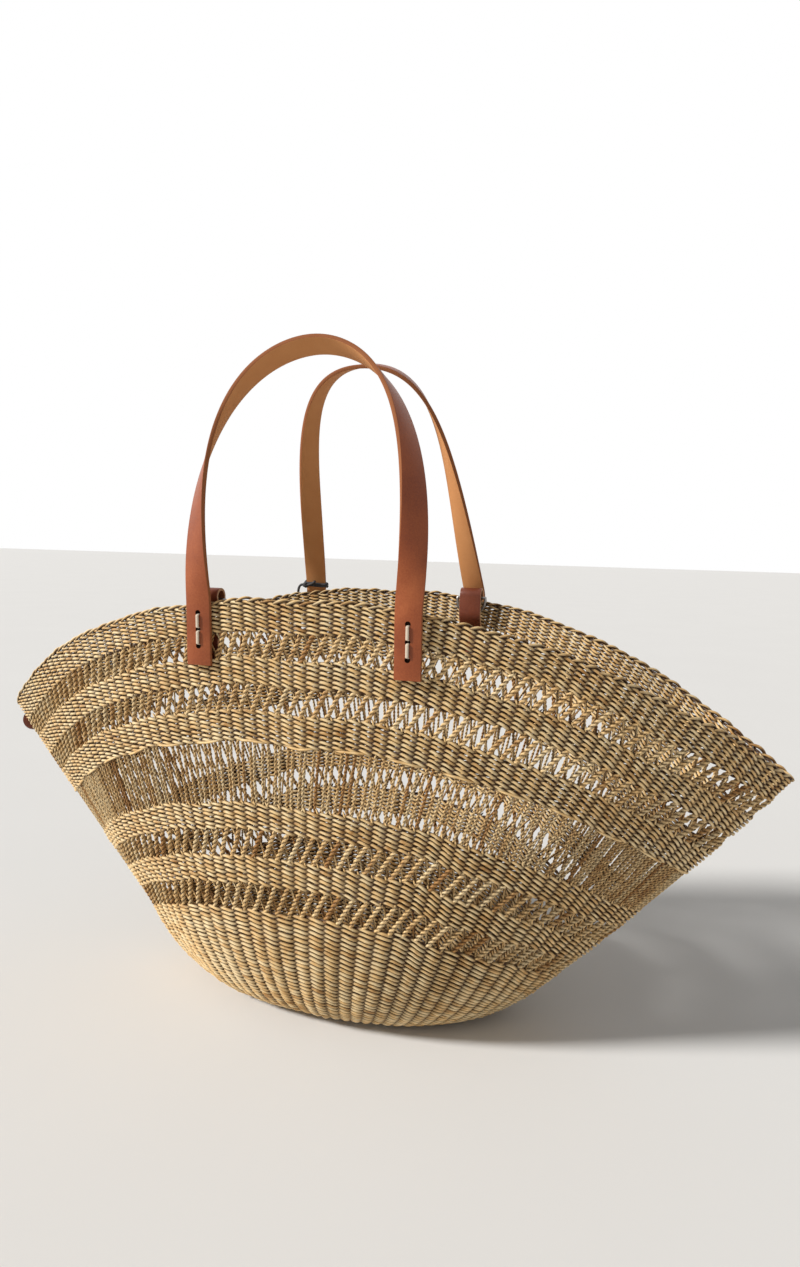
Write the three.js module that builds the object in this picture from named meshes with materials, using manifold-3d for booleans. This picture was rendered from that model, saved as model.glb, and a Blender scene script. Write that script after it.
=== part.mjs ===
// A woven straw market bag with two leather carrying handles.
// Millimetres, +Z up. The origin is on the floor under the middle of the bag, +X runs to one
// pointed tip of the mouth, and -Y is the front.
import * as THREE from 'three';
import { mergeVertices } from 'three/addons/utils/BufferGeometryUtils.js';
import Module from 'manifold-3d';

const wasm = await Module();
wasm.setup();

const degree = Math.PI / 180;
const seatGap = 0.3;              // clearance that neighbouring pieces keep

// Woven body: the flat foot, the shoulder where the close weave of the base ends, and the wall
const footHalfLength = 104;
const footHalfWidth = 45;
const shoulderHalfLength = 182.4;
const shoulderHalfWidth = 98.7;
const shoulderEndHeight = 46.6;
const shoulderSideHeight = 101.5;
const endFlare = 42.5 * degree;   // lean of the two end edges
const sideFlare = 2.5 * degree;   // lean of the front and back at the middle
const endBulge = 3.5;             // how far the end edges bow out
const weaveThickness = 5;
const foldThickness = 9.5;        // weave along the fold at each tip of the rim
const floorThickness = 5;
const columns = 48;               // sides of each hoop, a multiple of four

// Plan and sweep of a hoop of the weave: exponents of its outline
const rimShape = { fullness: 2.1, roundness: 0.77, sweep: 2.2 };
const shoulderShape = { fullness: 2.5, roundness: 0.68, sweep: 2.5 };
const footShape = { fullness: 2, roundness: 0.5, sweep: 2 };

// Bands of the wall from the rim down, each with its height along the wall
const rimBandHeight = 23.8;
const openworkOneHeight = 18.2;
const secondBandHeight = 20;
const openworkTwoHeight = 19;
const middleBandHeight = 23.4;
const openworkThreeHeight = 46;
const fourthBandHeight = 20.4;
const openworkFourHeight = 20;
const lowestBandHeight = 21.6;
const openworkFiveHeight = 19.6;

// Twisted strands of the openwork
const strandWidth = 4;
const strandThickness = 3.4;
const strandRecess = 0.8;         // strands lie this far behind the face of the bands
const uprightsPerColumn = 2;
const uprightRailHeight = 3;

// Leather strap of the handles. Each half of an arch is a Bezier curve: its leg pulls up by
// legReach and in by legInset, and its crown pulls level by crownReach. The knee is the bend over
// the rim, the curl is the further bend over the mouth up to the crown, and the tilt is how far
// the crown lies past level.
const strapWidth = 19;
const strapThickness = 3.2;
const handleHalfSpan = 78.5;      // middle of the bag to the middle of each foot
const frontHandle = {
  outward: -1,
  height: 180.5,
  legReach: 157,
  legInset: -14,
  crownReach: 27.5,
  knee: 0,
  curl: 20 * degree,
  crownTilt: 7 * degree,
};
const rearHandle = {
  outward: 1,
  height: 209,
  legReach: 124,
  legInset: 15,
  crownReach: 66,
  knee: 29.5 * degree,
  curl: 0,
  crownTilt: -12 * degree,
};
const largestLean = 30 * degree;  // the handles come this far over the mouth
const footRise = 2;               // the strap's feet start this far above the rim
const footLength = 47;            // stitched length below the rim
const lastHoleInset = 14;         // square-cut end to the nearest hole
const holePitch = 12;
const holeRadius = 2;
const holesPerFoot = 3;

// Flat cord of the stitches
const cordWidth = 2.4;
const cordThickness = 1.5;

// Folded leather loops inside the rim, each with a D-ring
const loopLeather = 2.2;
const loopBoreRadius = 4.2;
const loopRise = 2;               // middle of the roll above the rim
const loopStraight = 17;          // the leg hangs straight this far below the roll,
const loopReturn = 33;            // lies on the wall from this far below it
const loopLength = 54;            // and ends this far below it
const ringWireRadius = 1.4;
const ringBarHalfLength = 12.6;
const ringDepth = 13.5;

// Thin tie round one foot of the rear handle
const tieRadius = 1.2;
const tieHeight = 4;
const tieTail = 9;

// Leather disc on the rear face of the left tip
const discRadius = 9.5;
const discThickness = 3;
const discInset = 3.5;            // disc's middle to the end edge
const discHolePitch = 5;
const discHoleRadius = 1.7;

const overrun = 1;                // cutters run past the faces that they cut

// Colours
const straw = new THREE.Color(0.78, 0.66, 0.42);
const darkStraw = new THREE.Color(0.7, 0.57, 0.34);
const tanLeather = new THREE.Color(0.55, 0.24, 0.1);
const brownLeather = new THREE.Color(0.32, 0.13, 0.07);
const creamCord = new THREE.Color(0.86, 0.78, 0.66);
const blackCord = new THREE.Color(0.03, 0.03, 0.035);
const gunmetal = new THREE.Color(0.35, 0.34, 0.33);

const bands = [
  { name: 'rim_band', height: rimBandHeight, weave: 'close' },
  { name: 'openwork_one', height: openworkOneHeight, weave: 'crossed' },
  { name: 'second_band', height: secondBandHeight, weave: 'close' },
  { name: 'openwork_two', height: openworkTwoHeight, weave: 'crossed' },
  { name: 'middle_band', height: middleBandHeight, weave: 'close' },
  { name: 'openwork_three', height: openworkThreeHeight, weave: 'upright' },
  { name: 'fourth_band', height: fourthBandHeight, weave: 'close' },
  { name: 'openwork_four', height: openworkFourHeight, weave: 'crossed' },
  { name: 'lowest_band', height: lowestBandHeight, weave: 'close' },
  { name: 'openwork_five', height: openworkFiveHeight, weave: 'crossed' },
];
const wallHeight = bands.reduce((sum, band) => sum + band.height, 0);

const bag = new THREE.Group();

function addPiece(parent, name, geometry, colour, roughness, metalness = 0) {
  const material = new THREE.MeshStandardMaterial({ color: colour, roughness, metalness });
  const piece = new THREE.Mesh(geometry, material);
  piece.name = name;
  parent.add(piece);
  return piece;
}

// A solid of the boolean library from a closed geometry, and back again
function toSolid(geometry) {
  const bare = geometry.index ? geometry.toNonIndexed() : geometry.clone();
  bare.deleteAttribute('normal');
  bare.deleteAttribute('uv');
  const merged = mergeVertices(bare);
  const mesh = new wasm.Mesh({
    numProp: 3,
    vertProperties: new Float32Array(merged.attributes.position.array),
    triVerts: new Uint32Array(merged.index.array),
  });
  return new wasm.Manifold(mesh);
}

function toGeometry(solid) {
  const mesh = solid.getMesh();
  const geometry = new THREE.BufferGeometry();
  geometry.setAttribute('position', new THREE.BufferAttribute(Float32Array.from(mesh.vertProperties), 3));
  geometry.setIndex(Array.from(mesh.triVerts));
  geometry.computeVertexNormals();
  return geometry;
}

// A geometry from loose corner points, three for each face
function fromCorners(corners) {
  const geometry = new THREE.BufferGeometry().setFromPoints(corners);
  const merged = mergeVertices(geometry);
  merged.computeVertexNormals();
  return merged;
}

function pushQuad(corners, a, b, c, d) {
  corners.push(a, b, c, a, c, d);
}

function mixShapes(share, from, to) {
  return {
    fullness: THREE.MathUtils.lerp(from.fullness, to.fullness, share),
    roundness: THREE.MathUtils.lerp(from.roundness, to.roundness, share),
    sweep: THREE.MathUtils.lerp(from.sweep, to.sweep, share),
  };
}

// A level of the wall, a distance up from the shoulder
function wallLevel(up) {
  const share = up / wallHeight;
  const bow = 4 * endBulge * share * (1 - share);
  return {
    halfLength: shoulderHalfLength + up * Math.sin(endFlare) + bow * Math.cos(endFlare),
    endHeight: shoulderEndHeight + up * Math.cos(endFlare) - bow * Math.sin(endFlare),
    halfWidth: shoulderHalfWidth + up * Math.sin(sideFlare),
    sideHeight: shoulderSideHeight + up * Math.cos(sideFlare),
    endInset: THREE.MathUtils.lerp(1, foldThickness / weaveThickness, share),
    ...mixShapes(share, shoulderShape, rimShape),
  };
}

// One side of the base in section, from the foot (share 0) to the shoulder (share 1)
function baseCurve(footHalf, shoulderHalf, shoulderHeight, flare) {
  const foot = new THREE.Vector2(footHalf, 0);
  const shoulder = new THREE.Vector2(shoulderHalf, shoulderHeight);
  const reach = foot.distanceTo(shoulder);
  const turnShare = 0.3;
  const dropShare = 0.42;
  const turn = foot.clone().add(new THREE.Vector2(reach * turnShare, 0));
  const drop = new THREE.Vector2(Math.sin(flare), Math.cos(flare)).multiplyScalar(-reach * dropShare);
  return new THREE.CubicBezierCurve(foot, turn, shoulder.clone().add(drop), shoulder);
}

const endCurve = baseCurve(footHalfLength, shoulderHalfLength, shoulderEndHeight, endFlare);
const sideCurve = baseCurve(footHalfWidth, shoulderHalfWidth, shoulderSideHeight, sideFlare);

function baseLevel(share) {
  const end = endCurve.getPointAt(share);
  const side = sideCurve.getPointAt(share);
  return {
    halfLength: end.x,
    endHeight: end.y,
    halfWidth: side.x,
    sideHeight: side.y,
    endInset: 1,
    ...mixShapes(share, footShape, shoulderShape),
  };
}

// A point of a level's first quarter, from the middle of a side (turn 0) to the tip (turn 90 degrees)
function quarterPoint(level, turn, depth = 0) {
  const along = Math.sin(turn);
  const closing = Math.max(1 - along ** level.fullness, 0) ** level.roundness;
  const rise = (level.sideHeight - level.endHeight) * (1 - along ** level.sweep);
  const halfLength = level.halfLength - depth * level.endInset;
  return new THREE.Vector3(halfLength * along, (level.halfWidth - depth) * closing, level.endHeight + rise);
}

// The turns that divide a level's quarter into equal lengths
function equalTurns(level) {
  const parts = columns / 4;
  const samples = 40 * parts;
  const turns = [0];
  const lengths = [0];
  let last = quarterPoint(level, 0);
  for (let i = 1; i <= samples; i += 1) {
    const turn = (i / samples) * Math.PI / 2;
    const next = quarterPoint(level, turn);
    turns.push(turn);
    lengths.push(lengths[i - 1] + next.distanceTo(last));
    last = next;
  }
  const chosen = [];
  for (let part = 0; part <= parts; part += 1) {
    const wanted = lengths[samples] * (part / parts);
    let i = 1;
    while (i < samples && lengths[i] < wanted) i += 1;
    const share = (wanted - lengths[i - 1]) / (lengths[i] - lengths[i - 1]);
    chosen.push(THREE.MathUtils.lerp(turns[i - 1], turns[i], share));
  }
  return chosen;
}

// A closed hoop of the weave: it starts at the middle of the front and passes the right tip,
// the middle of the back and the left tip
function hoop(level, depth, lift = 0) {
  const turns = equalTurns(level);
  const quarter = columns / 4;
  const points = [];
  for (let column = 0; column < columns; column += 1) {
    const part = column % quarter;
    const side = Math.floor(column / quarter);
    const back = side === 1 || side === 2;
    const left = side >= 2;
    const turn = side % 2 === 0 ? turns[part] : turns[quarter - part];
    const point = quarterPoint(level, turn, depth);
    point.x *= left ? -1 : 1;
    point.y *= back ? 1 : -1;
    point.z += lift;
    points.push(point);
  }
  return points;
}

// A point on a hoop's straight sides, at any column
function onHoop(points, column) {
  const wrapped = ((column % columns) + columns) % columns;
  const first = Math.floor(wrapped);
  return points[first].clone().lerp(points[(first + 1) % columns], wrapped - first);
}

// Outline and hole of one cell of a band, in shares of the cell's width and the band's height
function closeCell() {
  return { outline: [[0, 0], [1, 0], [1, 1], [0, 1]], holes: [], width: 1 };
}

function uprightCell(pitch, height) {
  const width = 1 / uprightsPerColumn;
  const rail = uprightRailHeight / height;
  const half = strandWidth / (pitch * width) / 2;
  const hole = [[half, rail], [half, 1 - rail], [1 - half, 1 - rail], [1 - half, rail]];
  return { outline: closeCell().outline, holes: [hole], width };
}

// Two strands cross at each side of the cell, and meet their neighbours at its top and bottom
function crossedCell(pitch, height) {
  const slant = Math.hypot(pitch, height);
  const across = (strandWidth * slant) / height / pitch / 2;
  const up = (strandWidth * slant) / pitch / height / 2;
  const outline = [
    [0, 0.5 - up], [0.5 - across, 0], [0.5 + across, 0], [1, 0.5 - up],
    [1, 0.5 + up], [0.5 + across, 1], [0.5 - across, 1], [0, 0.5 + up],
  ];
  const hole = [[0.5, up], [across, 0.5], [0.5, 1 - up], [1 - across, 0.5]];
  return { outline, holes: [hole], width: 1 };
}

// A ring of the wall made of equal cells
function weaveRing(lower, upper, weave) {
  const height = upper - lower;
  const outerDepth = weave === 'close' ? 0 : strandRecess;
  const innerDepth = weave === 'close' ? weaveThickness : strandRecess + strandThickness;
  const middle = hoop(wallLevel((lower + upper) / 2), 0);
  const girth = middle.reduce((sum, point, i) => sum + point.distanceTo(middle[(i + 1) % columns]), 0);
  const pitch = girth / columns;
  const makers = { close: closeCell, upright: uprightCell, crossed: crossedCell };
  const cell = makers[weave](pitch, height);
  const contour = cell.outline.map(([x, y]) => new THREE.Vector2(x, y));
  const openings = cell.holes.map((hole) => hole.map(([x, y]) => new THREE.Vector2(x, y)));
  const faces = THREE.ShapeUtils.triangulateShape(contour, openings);
  const flat = [contour, ...openings].flat();
  const hoops = new Map();
  for (const { y } of flat) {
    const level = wallLevel(lower + y * height);
    const face = hoop(level, 0);
    const back = hoop(level, weaveThickness);
    const between = (depth) => face.map((point, i) => point.clone().lerp(back[i], depth / weaveThickness));
    hoops.set(y, { outer: between(outerDepth), inner: between(innerDepth) });
  }
  const corners = [];
  for (let i = 0; i < columns / cell.width; i += 1) {
    const place = (point, face) => onHoop(hoops.get(point.y)[face], (i + point.x) * cell.width);
    for (const [a, b, c] of faces) {
      corners.push(place(flat[a], 'outer'), place(flat[b], 'outer'), place(flat[c], 'outer'));
      corners.push(place(flat[a], 'inner'), place(flat[c], 'inner'), place(flat[b], 'inner'));
    }
    for (const edgeLoop of [contour, ...openings]) {
      edgeLoop.forEach((start, k) => {
        const end = edgeLoop[(k + 1) % edgeLoop.length];
        const shared = start.x === end.x && (start.x === 0 || start.x === 1);
        if (shared) return;
        const quad = [place(start, 'outer'), place(start, 'inner'), place(end, 'inner'), place(end, 'outer')];
        pushQuad(corners, ...quad);
      });
    }
  }
  return fromCorners(corners);
}

function addWall() {
  let upper = wallHeight;
  for (const band of bands) {
    const lower = upper - band.height;
    const top = upper === wallHeight ? upper : upper - seatGap / 2;
    const geometry = weaveRing(lower + seatGap / 2, top, band.weave);
    addPiece(bag, band.name, geometry, band.weave === 'close' ? straw : darkStraw, 0.85);
    upper = lower;
  }
}

// The close-woven base: a bowl that stands on its flat foot
function addBase() {
  const levelShares = [0, 0.12, 0.3, 0.55, 0.78, 1];
  const reach = sideCurve.getLength();
  const outer = [];
  const inner = [];
  for (const share of levelShares) {
    const level = baseLevel(share * (1 - seatGap / reach));
    outer.push(hoop(level, 0));
    inner.push(hoop(level, weaveThickness, floorThickness * (1 - share)));
  }
  const corners = [];
  const last = levelShares.length - 1;
  const under = new THREE.Vector3(0, 0, 0);
  const inside = new THREE.Vector3(0, 0, floorThickness);
  for (let column = 0; column < columns; column += 1) {
    const next = (column + 1) % columns;
    for (let row = 0; row < last; row += 1) {
      pushQuad(corners, outer[row][column], outer[row][next], outer[row + 1][next], outer[row + 1][column]);
      pushQuad(corners, inner[row][next], inner[row][column], inner[row + 1][column], inner[row + 1][next]);
    }
    pushQuad(corners, outer[last][column], outer[last][next], inner[last][next], inner[last][column]);
    corners.push(under, outer[0][next], outer[0][column]);
    corners.push(inside, inner[0][column], inner[0][next]);
  }
  addPiece(bag, 'woven_base', fromCorners(corners), straw, 0.85);
}

// Where the wall's face stands at a distance along the bag, at a level and a depth into the weave
function faceAt(level, x, depth = 0) {
  const turn = Math.asin(Math.min(Math.abs(x) / (level.halfLength - depth * level.endInset), 1));
  return quarterPoint(level, turn, depth);
}

// The strap's feet lie flat on the wall, so they touch it at the edge nearer to the bag's middle
const rimLevel = wallLevel(wallHeight);
const footLevel = wallLevel(wallHeight - footLength);
const nearEdge = handleHalfSpan - strapWidth / 2;
const farEdge = handleHalfSpan + strapWidth / 2;
const footTop = faceAt(rimLevel, nearEdge);
const footBottom = faceAt(footLevel, nearEdge);
const footLean = Math.atan2(footTop.y - footBottom.y, footTop.z - footBottom.z);
const clearOfWall = seatGap / Math.cos(footLean);
const hingeHeight = footTop.z + footRise;
const hingeDepth = footTop.y + footRise * Math.tan(footLean) + clearOfWall + strapThickness;

// A solid lofted through rings of four corners
function loftBars(sections) {
  const corners = [];
  const sides = sections[0].length;
  for (let i = 0; i + 1 < sections.length; i += 1) {
    for (let k = 0; k < sides; k += 1) {
      const next = (k + 1) % sides;
      pushQuad(corners, sections[i][k], sections[i][next], sections[i + 1][next], sections[i + 1][k]);
    }
  }
  const first = sections[0];
  const end = sections[sections.length - 1];
  pushQuad(corners, first[3], first[2], first[1], first[0]);
  pushQuad(corners, end[0], end[1], end[2], end[3]);
  return fromCorners(corners);
}

// Middle line of a handle, laid out flat
function handlePath(handle) {
  const half = new THREE.CubicBezierCurve(
    new THREE.Vector2(-handleHalfSpan, seatGap),
    new THREE.Vector2(-handleHalfSpan + handle.legInset, handle.legReach),
    new THREE.Vector2(-handle.crownReach, handle.height),
    new THREE.Vector2(0, handle.height),
  );
  const steps = 9;
  const left = half.getSpacedPoints(steps).map((point) => new THREE.Vector3(point.x, point.y, 0));
  const right = left.slice(0, -1).reverse().map((point) => new THREE.Vector3(-point.x, point.y, 0));
  return new THREE.CatmullRomCurve3([...left, ...right], false, 'centripetal');
}

// Directions along and out of a handle where it leans this far over the mouth
function leanFrame(handle, lean) {
  const up = new THREE.Vector3(0, -handle.outward * Math.sin(lean), Math.cos(lean));
  const out = new THREE.Vector3(0, handle.outward * Math.cos(lean), Math.sin(lean));
  return { up, out };
}

// Frame of the strap at a share of its arch: it lies flat on the wall at its feet and turns
// to lie across the hand at the crown. The arch bends along a round curl, whose chord leans
// half as far as its end.
function strapFrame(handle, path, share) {
  const flatPoint = path.getPointAt(share);
  const flatTangent = path.getTangentAt(share);
  const startLean = handle.knee - footLean;
  const halfCurl = handle.curl * (flatPoint.y / handle.height) / 2;
  const { up, out } = leanFrame(handle, startLean + 2 * halfCurl);
  const chordLength = halfCurl === 0 ? flatPoint.y : flatPoint.y * (Math.sin(halfCurl) / halfCurl);
  const centre = new THREE.Vector3(flatPoint.x, handle.outward * hingeDepth, hingeHeight)
    .addScaledVector(leanFrame(handle, startLean).out, -strapThickness / 2)
    .addScaledVector(leanFrame(handle, startLean + halfCurl).up, chordLength);
  const along = new THREE.Vector3(flatTangent.x, 0, 0).addScaledVector(up, flatTangent.y).normalize();
  const outOfArch = new THREE.Vector3(-flatTangent.y, 0, 0).addScaledVector(up, flatTangent.x).normalize();
  const fromFoot = 1 - Math.abs(2 * share - 1);
  const turned = fromFoot * (4 - fromFoot ** 3) / 3;
  const turn = Math.PI / 2 - turned * (Math.PI / 2 + handle.crownTilt);
  const grain = outOfArch.clone().multiplyScalar(Math.cos(turn)).addScaledVector(out, Math.sin(turn));
  const across = out.clone().multiplyScalar(Math.cos(turn)).addScaledVector(outOfArch, -Math.sin(turn));
  return { centre, along, grain, across, sideSlope: flatTangent.x / flatTangent.y };
}

// The strap's ends are cut level with the hinge line, and bevelled inside to clear the feet
function handleGeometry(handle) {
  const path = handlePath(handle);
  const steps = 52;
  const bevel = strapThickness * Math.tan(largestLean + footLean);
  const sections = [];
  for (let i = 0; i <= steps; i += 1) {
    const { centre, along, grain, across, sideSlope } = strapFrame(handle, path, i / steps);
    const cut = (i === 0 ? bevel : 0) - (i === steps ? bevel : 0);
    const levelSlope = i === 0 || i === steps ? sideSlope : 0;
    const corner = (wide, thick) => centre.clone()
      .addScaledVector(across, wide * strapWidth / 2)
      .addScaledVector(grain, thick * strapThickness / 2)
      .addScaledVector(along, (wide * strapWidth / 2) * levelSlope + (thick < 0 ? cut : 0));
    const ring = [corner(-1, -1), corner(1, -1), corner(1, 1), corner(-1, 1)];
    sections.push(handle.outward > 0 ? ring : ring.reverse());
  }
  return loftBars(sections);
}

function cylinderAlongY(radius, length, sides) {
  return new THREE.CylinderGeometry(radius, radius, length, sides);
}

// A stitched foot of the strap, square cut, with its row of holes. Its own frame has x across,
// y out of the wall and z up, with the outer top edge on the x axis.
function strapFootGeometry() {
  const length = footRise + footLength;
  const plate = new THREE.BoxGeometry(strapWidth, strapThickness, length);
  plate.translate(0, -strapThickness / 2, -length / 2);
  let solid = toSolid(plate);
  for (const z of holeHeights()) {
    const bore = cylinderAlongY(holeRadius, strapThickness + 2 * overrun, 12);
    bore.translate(0, -strapThickness / 2, z);
    solid = solid.subtract(toSolid(bore));
  }
  return toGeometry(solid);
}

function holeHeights() {
  const lowest = -(footRise + footLength) + lastHoleInset;
  return Array.from({ length: holesPerFoot }, (_, i) => lowest + i * holePitch);
}

// A row of stitches over two or more holes: the cord lies on the face and turns in at each hole
function stitchGeometry(heights, legLength) {
  const shape = new THREE.Shape();
  const half = cordThickness / 2;
  const low = Math.min(...heights) - half;
  const high = Math.max(...heights) + half;
  const face = seatGap;
  const top = seatGap + cordThickness;
  shape.moveTo(top, low);
  shape.lineTo(top, high);
  for (const z of [...heights].sort((a, b) => b - a)) {
    if (z + half < high) shape.lineTo(face, z + half);
    shape.lineTo(-legLength, z + half);
    shape.lineTo(-legLength, z - half);
    if (z - half > low) shape.lineTo(face, z - half);
  }
  shape.closePath();
  const geometry = new THREE.ExtrudeGeometry(shape, { depth: cordWidth, bevelEnabled: false, steps: 1 });
  geometry.translate(0, 0, -cordWidth / 2);
  geometry.rotateX(Math.PI / 2);
  geometry.rotateZ(Math.PI / 2);
  return geometry;
}

// A tube of six or more sides round a closed flat loop of points
function closedTube(points, normal, radius, sides) {
  const rings = points.map((point, i) => {
    const before = points[(i + points.length - 1) % points.length];
    const after = points[(i + 1) % points.length];
    const tangent = after.clone().sub(before).normalize();
    const side = new THREE.Vector3().crossVectors(normal, tangent).normalize();
    return Array.from({ length: sides }, (_, k) => {
      const turn = (2 * Math.PI * k) / sides;
      return point.clone().addScaledVector(side, radius * Math.cos(turn))
        .addScaledVector(normal, radius * Math.sin(turn));
    });
  });
  const corners = [];
  rings.forEach((ring, i) => {
    const after = rings[(i + 1) % rings.length];
    for (let k = 0; k < sides; k += 1) {
      const next = (k + 1) % sides;
      pushQuad(corners, ring[k], ring[next], after[next], after[k]);
    }
  });
  return fromCorners(corners);
}

// Loop of leather in its own frame: x across, y towards the inside of the bag from the wall's
// inner face, z up from the rim. The leg hangs in front of the ring and comes back to the wall.
const rollRadius = loopBoreRadius + loopLeather;
const rollDepth = seatGap + rollRadius;
const legThickness = 2 * loopLeather;
const ringHeight = loopRise - (loopBoreRadius - ringWireRadius - seatGap);

function prismAcross(shape, width) {
  const geometry = new THREE.ExtrudeGeometry(shape, { depth: width, bevelEnabled: false, curveSegments: 10 });
  geometry.translate(0, 0, -width / 2);
  geometry.rotateX(Math.PI / 2);
  geometry.rotateZ(Math.PI / 2);
  return geometry;
}

function loopGeometry() {
  const front = rollDepth + rollRadius;
  const bendHeight = loopRise - (loopStraight + loopReturn) / 2;
  const legPath = new THREE.CubicBezierCurve(
    new THREE.Vector2(front - loopLeather, loopRise - loopStraight),
    new THREE.Vector2(front - loopLeather, bendHeight),
    new THREE.Vector2(seatGap + loopLeather, bendHeight),
    new THREE.Vector2(seatGap + loopLeather, loopRise - loopReturn),
  );
  const frontSide = [new THREE.Vector2(front, loopRise)];
  const backSide = [new THREE.Vector2(front - legThickness, loopRise)];
  const steps = 8;
  for (let i = 0; i <= steps; i += 1) {
    const point = legPath.getPoint(i / steps);
    const tangent = legPath.getTangent(i / steps);
    const side = new THREE.Vector2(-tangent.y, tangent.x).multiplyScalar(loopLeather);
    frontSide.push(point.clone().add(side));
    backSide.push(point.clone().sub(side));
  }
  frontSide.push(new THREE.Vector2(seatGap + legThickness, loopRise - loopLength));
  backSide.push(new THREE.Vector2(seatGap, loopRise - loopLength));
  const leg = new THREE.Shape([...backSide, ...frontSide.reverse()]);
  const roll = new THREE.Shape().absarc(rollDepth, loopRise, rollRadius, 0, 2 * Math.PI);
  const bore = new THREE.Shape().absarc(rollDepth, loopRise, loopBoreRadius, 0, 2 * Math.PI);
  const body = toSolid(prismAcross(leg, strapWidth)).add(toSolid(prismAcross(roll, strapWidth)));
  return toGeometry(body.subtract(toSolid(prismAcross(bore, strapWidth + 2 * overrun))));
}

// D-ring: a straight bar inside the roll and a bow that hangs below it
function ringGeometry() {
  const steps = 14;
  const points = [];
  const cornerShare = 0.72;
  for (let i = 0; i <= steps; i += 1) {
    const turn = Math.PI * (i / steps);
    const across = Math.sign(Math.cos(turn)) * Math.abs(Math.cos(turn)) ** cornerShare;
    points.push(new THREE.Vector3(-ringBarHalfLength * across, 0, -ringDepth * Math.sin(turn) ** cornerShare));
  }
  return closedTube(points, new THREE.Vector3(0, 1, 0), ringWireRadius, 8);
}

function addLoop(name, side, outward) {
  const innerFace = faceAt(rimLevel, farEdge, weaveThickness);
  const lowerFace = faceAt(wallLevel(wallHeight - loopLength), farEdge, weaveThickness);
  const lean = Math.atan2(innerFace.y - lowerFace.y, innerFace.z - lowerFace.z);
  const frame = new THREE.Group();
  frame.position.set(side * handleHalfSpan, outward * innerFace.y, footTop.z);
  frame.rotation.set(0, 0, outward > 0 ? Math.PI : 0);
  const tilt = new THREE.Group();
  tilt.rotation.x = lean;
  frame.add(tilt);
  bag.add(frame);
  addPiece(tilt, `${name}_loop`, loopGeometry(), brownLeather, 0.5);
  const ring = addPiece(tilt, `${name}_ring`, ringGeometry(), gunmetal, 0.3, 1);
  ring.position.set(0, rollDepth, ringHeight);
}

function addHandle(name, handle) {
  addPiece(bag, `${name}_handle`, handleGeometry(handle), tanLeather, 0.55);
  for (const side of [-1, 1]) {
    const label = `${name}_${side < 0 ? 'left' : 'right'}`;
    const frame = new THREE.Group();
    frame.position.set(side * handleHalfSpan, handle.outward * hingeDepth, hingeHeight);
    frame.rotation.z = handle.outward < 0 ? Math.PI : 0;
    const tilt = new THREE.Group();
    tilt.rotation.x = -footLean;
    frame.add(tilt);
    bag.add(frame);
    addPiece(tilt, `${label}_strap_foot`, strapFootGeometry(), tanLeather, 0.55);
    addPiece(tilt, `${label}_stitches`, stitchGeometry(holeHeights(), strapThickness), creamCord, 0.8);
  }
}

// Two turns of thin cord round a foot of the rear handle, with a knot and two short ends
function addTie() {
  const path = handlePath(rearHandle);
  const length = path.getLength();
  const clear = strapThickness / 2 + seatGap + tieRadius;
  const halfWide = strapWidth / 2 + seatGap + tieRadius;
  const turns = [];
  let knotFrame = null;
  const pitchShare = 1.8;
  for (let i = 0; i < 2; i += 1) {
    const frame = strapFrame(rearHandle, path, (tieHeight + i * pitchShare * tieRadius) / length);
    const points = [];
    for (const [wide, thick] of [[-1, -1], [1, -1], [1, 1], [-1, 1]]) {
      const cornerSteps = 2;
      const middle = Math.atan2(thick, wide);
      for (let k = -1; k < cornerSteps; k += 1) {
        const turn = middle + (k + 1 / 2) * Math.PI / 4;
        points.push(frame.centre.clone()
          .addScaledVector(frame.across, wide * strapWidth / 2 + Math.cos(turn) * (halfWide - strapWidth / 2))
          .addScaledVector(frame.grain, thick * strapThickness / 2 + Math.sin(turn) * (clear - strapThickness / 2)));
      }
    }
    turns.push(toSolid(closedTube(points, frame.along, tieRadius, 6)));
    knotFrame = frame;
  }
  const knotAt = knotFrame.centre.clone()
    .addScaledVector(knotFrame.across, -strapWidth / 2)
    .addScaledVector(knotFrame.grain, -clear - tieRadius);
  const knot = new THREE.SphereGeometry(2 * tieRadius, 8, 6).translate(knotAt.x, knotAt.y, knotAt.z);
  const ends = [[-1, 0.1], [0.75, 0.8]].map(([wideShare, upShare]) => {
    const end = knotAt.clone().addScaledVector(knotFrame.across, wideShare * tieTail)
      .addScaledVector(knotFrame.along, upShare * tieTail * 0.5);
    const line = new THREE.LineCurve3(knotAt, end);
    const section = new THREE.Shape().absarc(0, 0, tieRadius, 0, 2 * Math.PI);
    return new THREE.ExtrudeGeometry(section, { extrudePath: line, steps: 2, curveSegments: 4, bevelEnabled: false });
  });
  let solid = turns[0].add(turns[1]).add(toSolid(knot));
  for (const end of ends) solid = solid.add(toSolid(end));
  addPiece(bag, 'tie_cord', toGeometry(solid), blackCord, 0.8);
}

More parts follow.
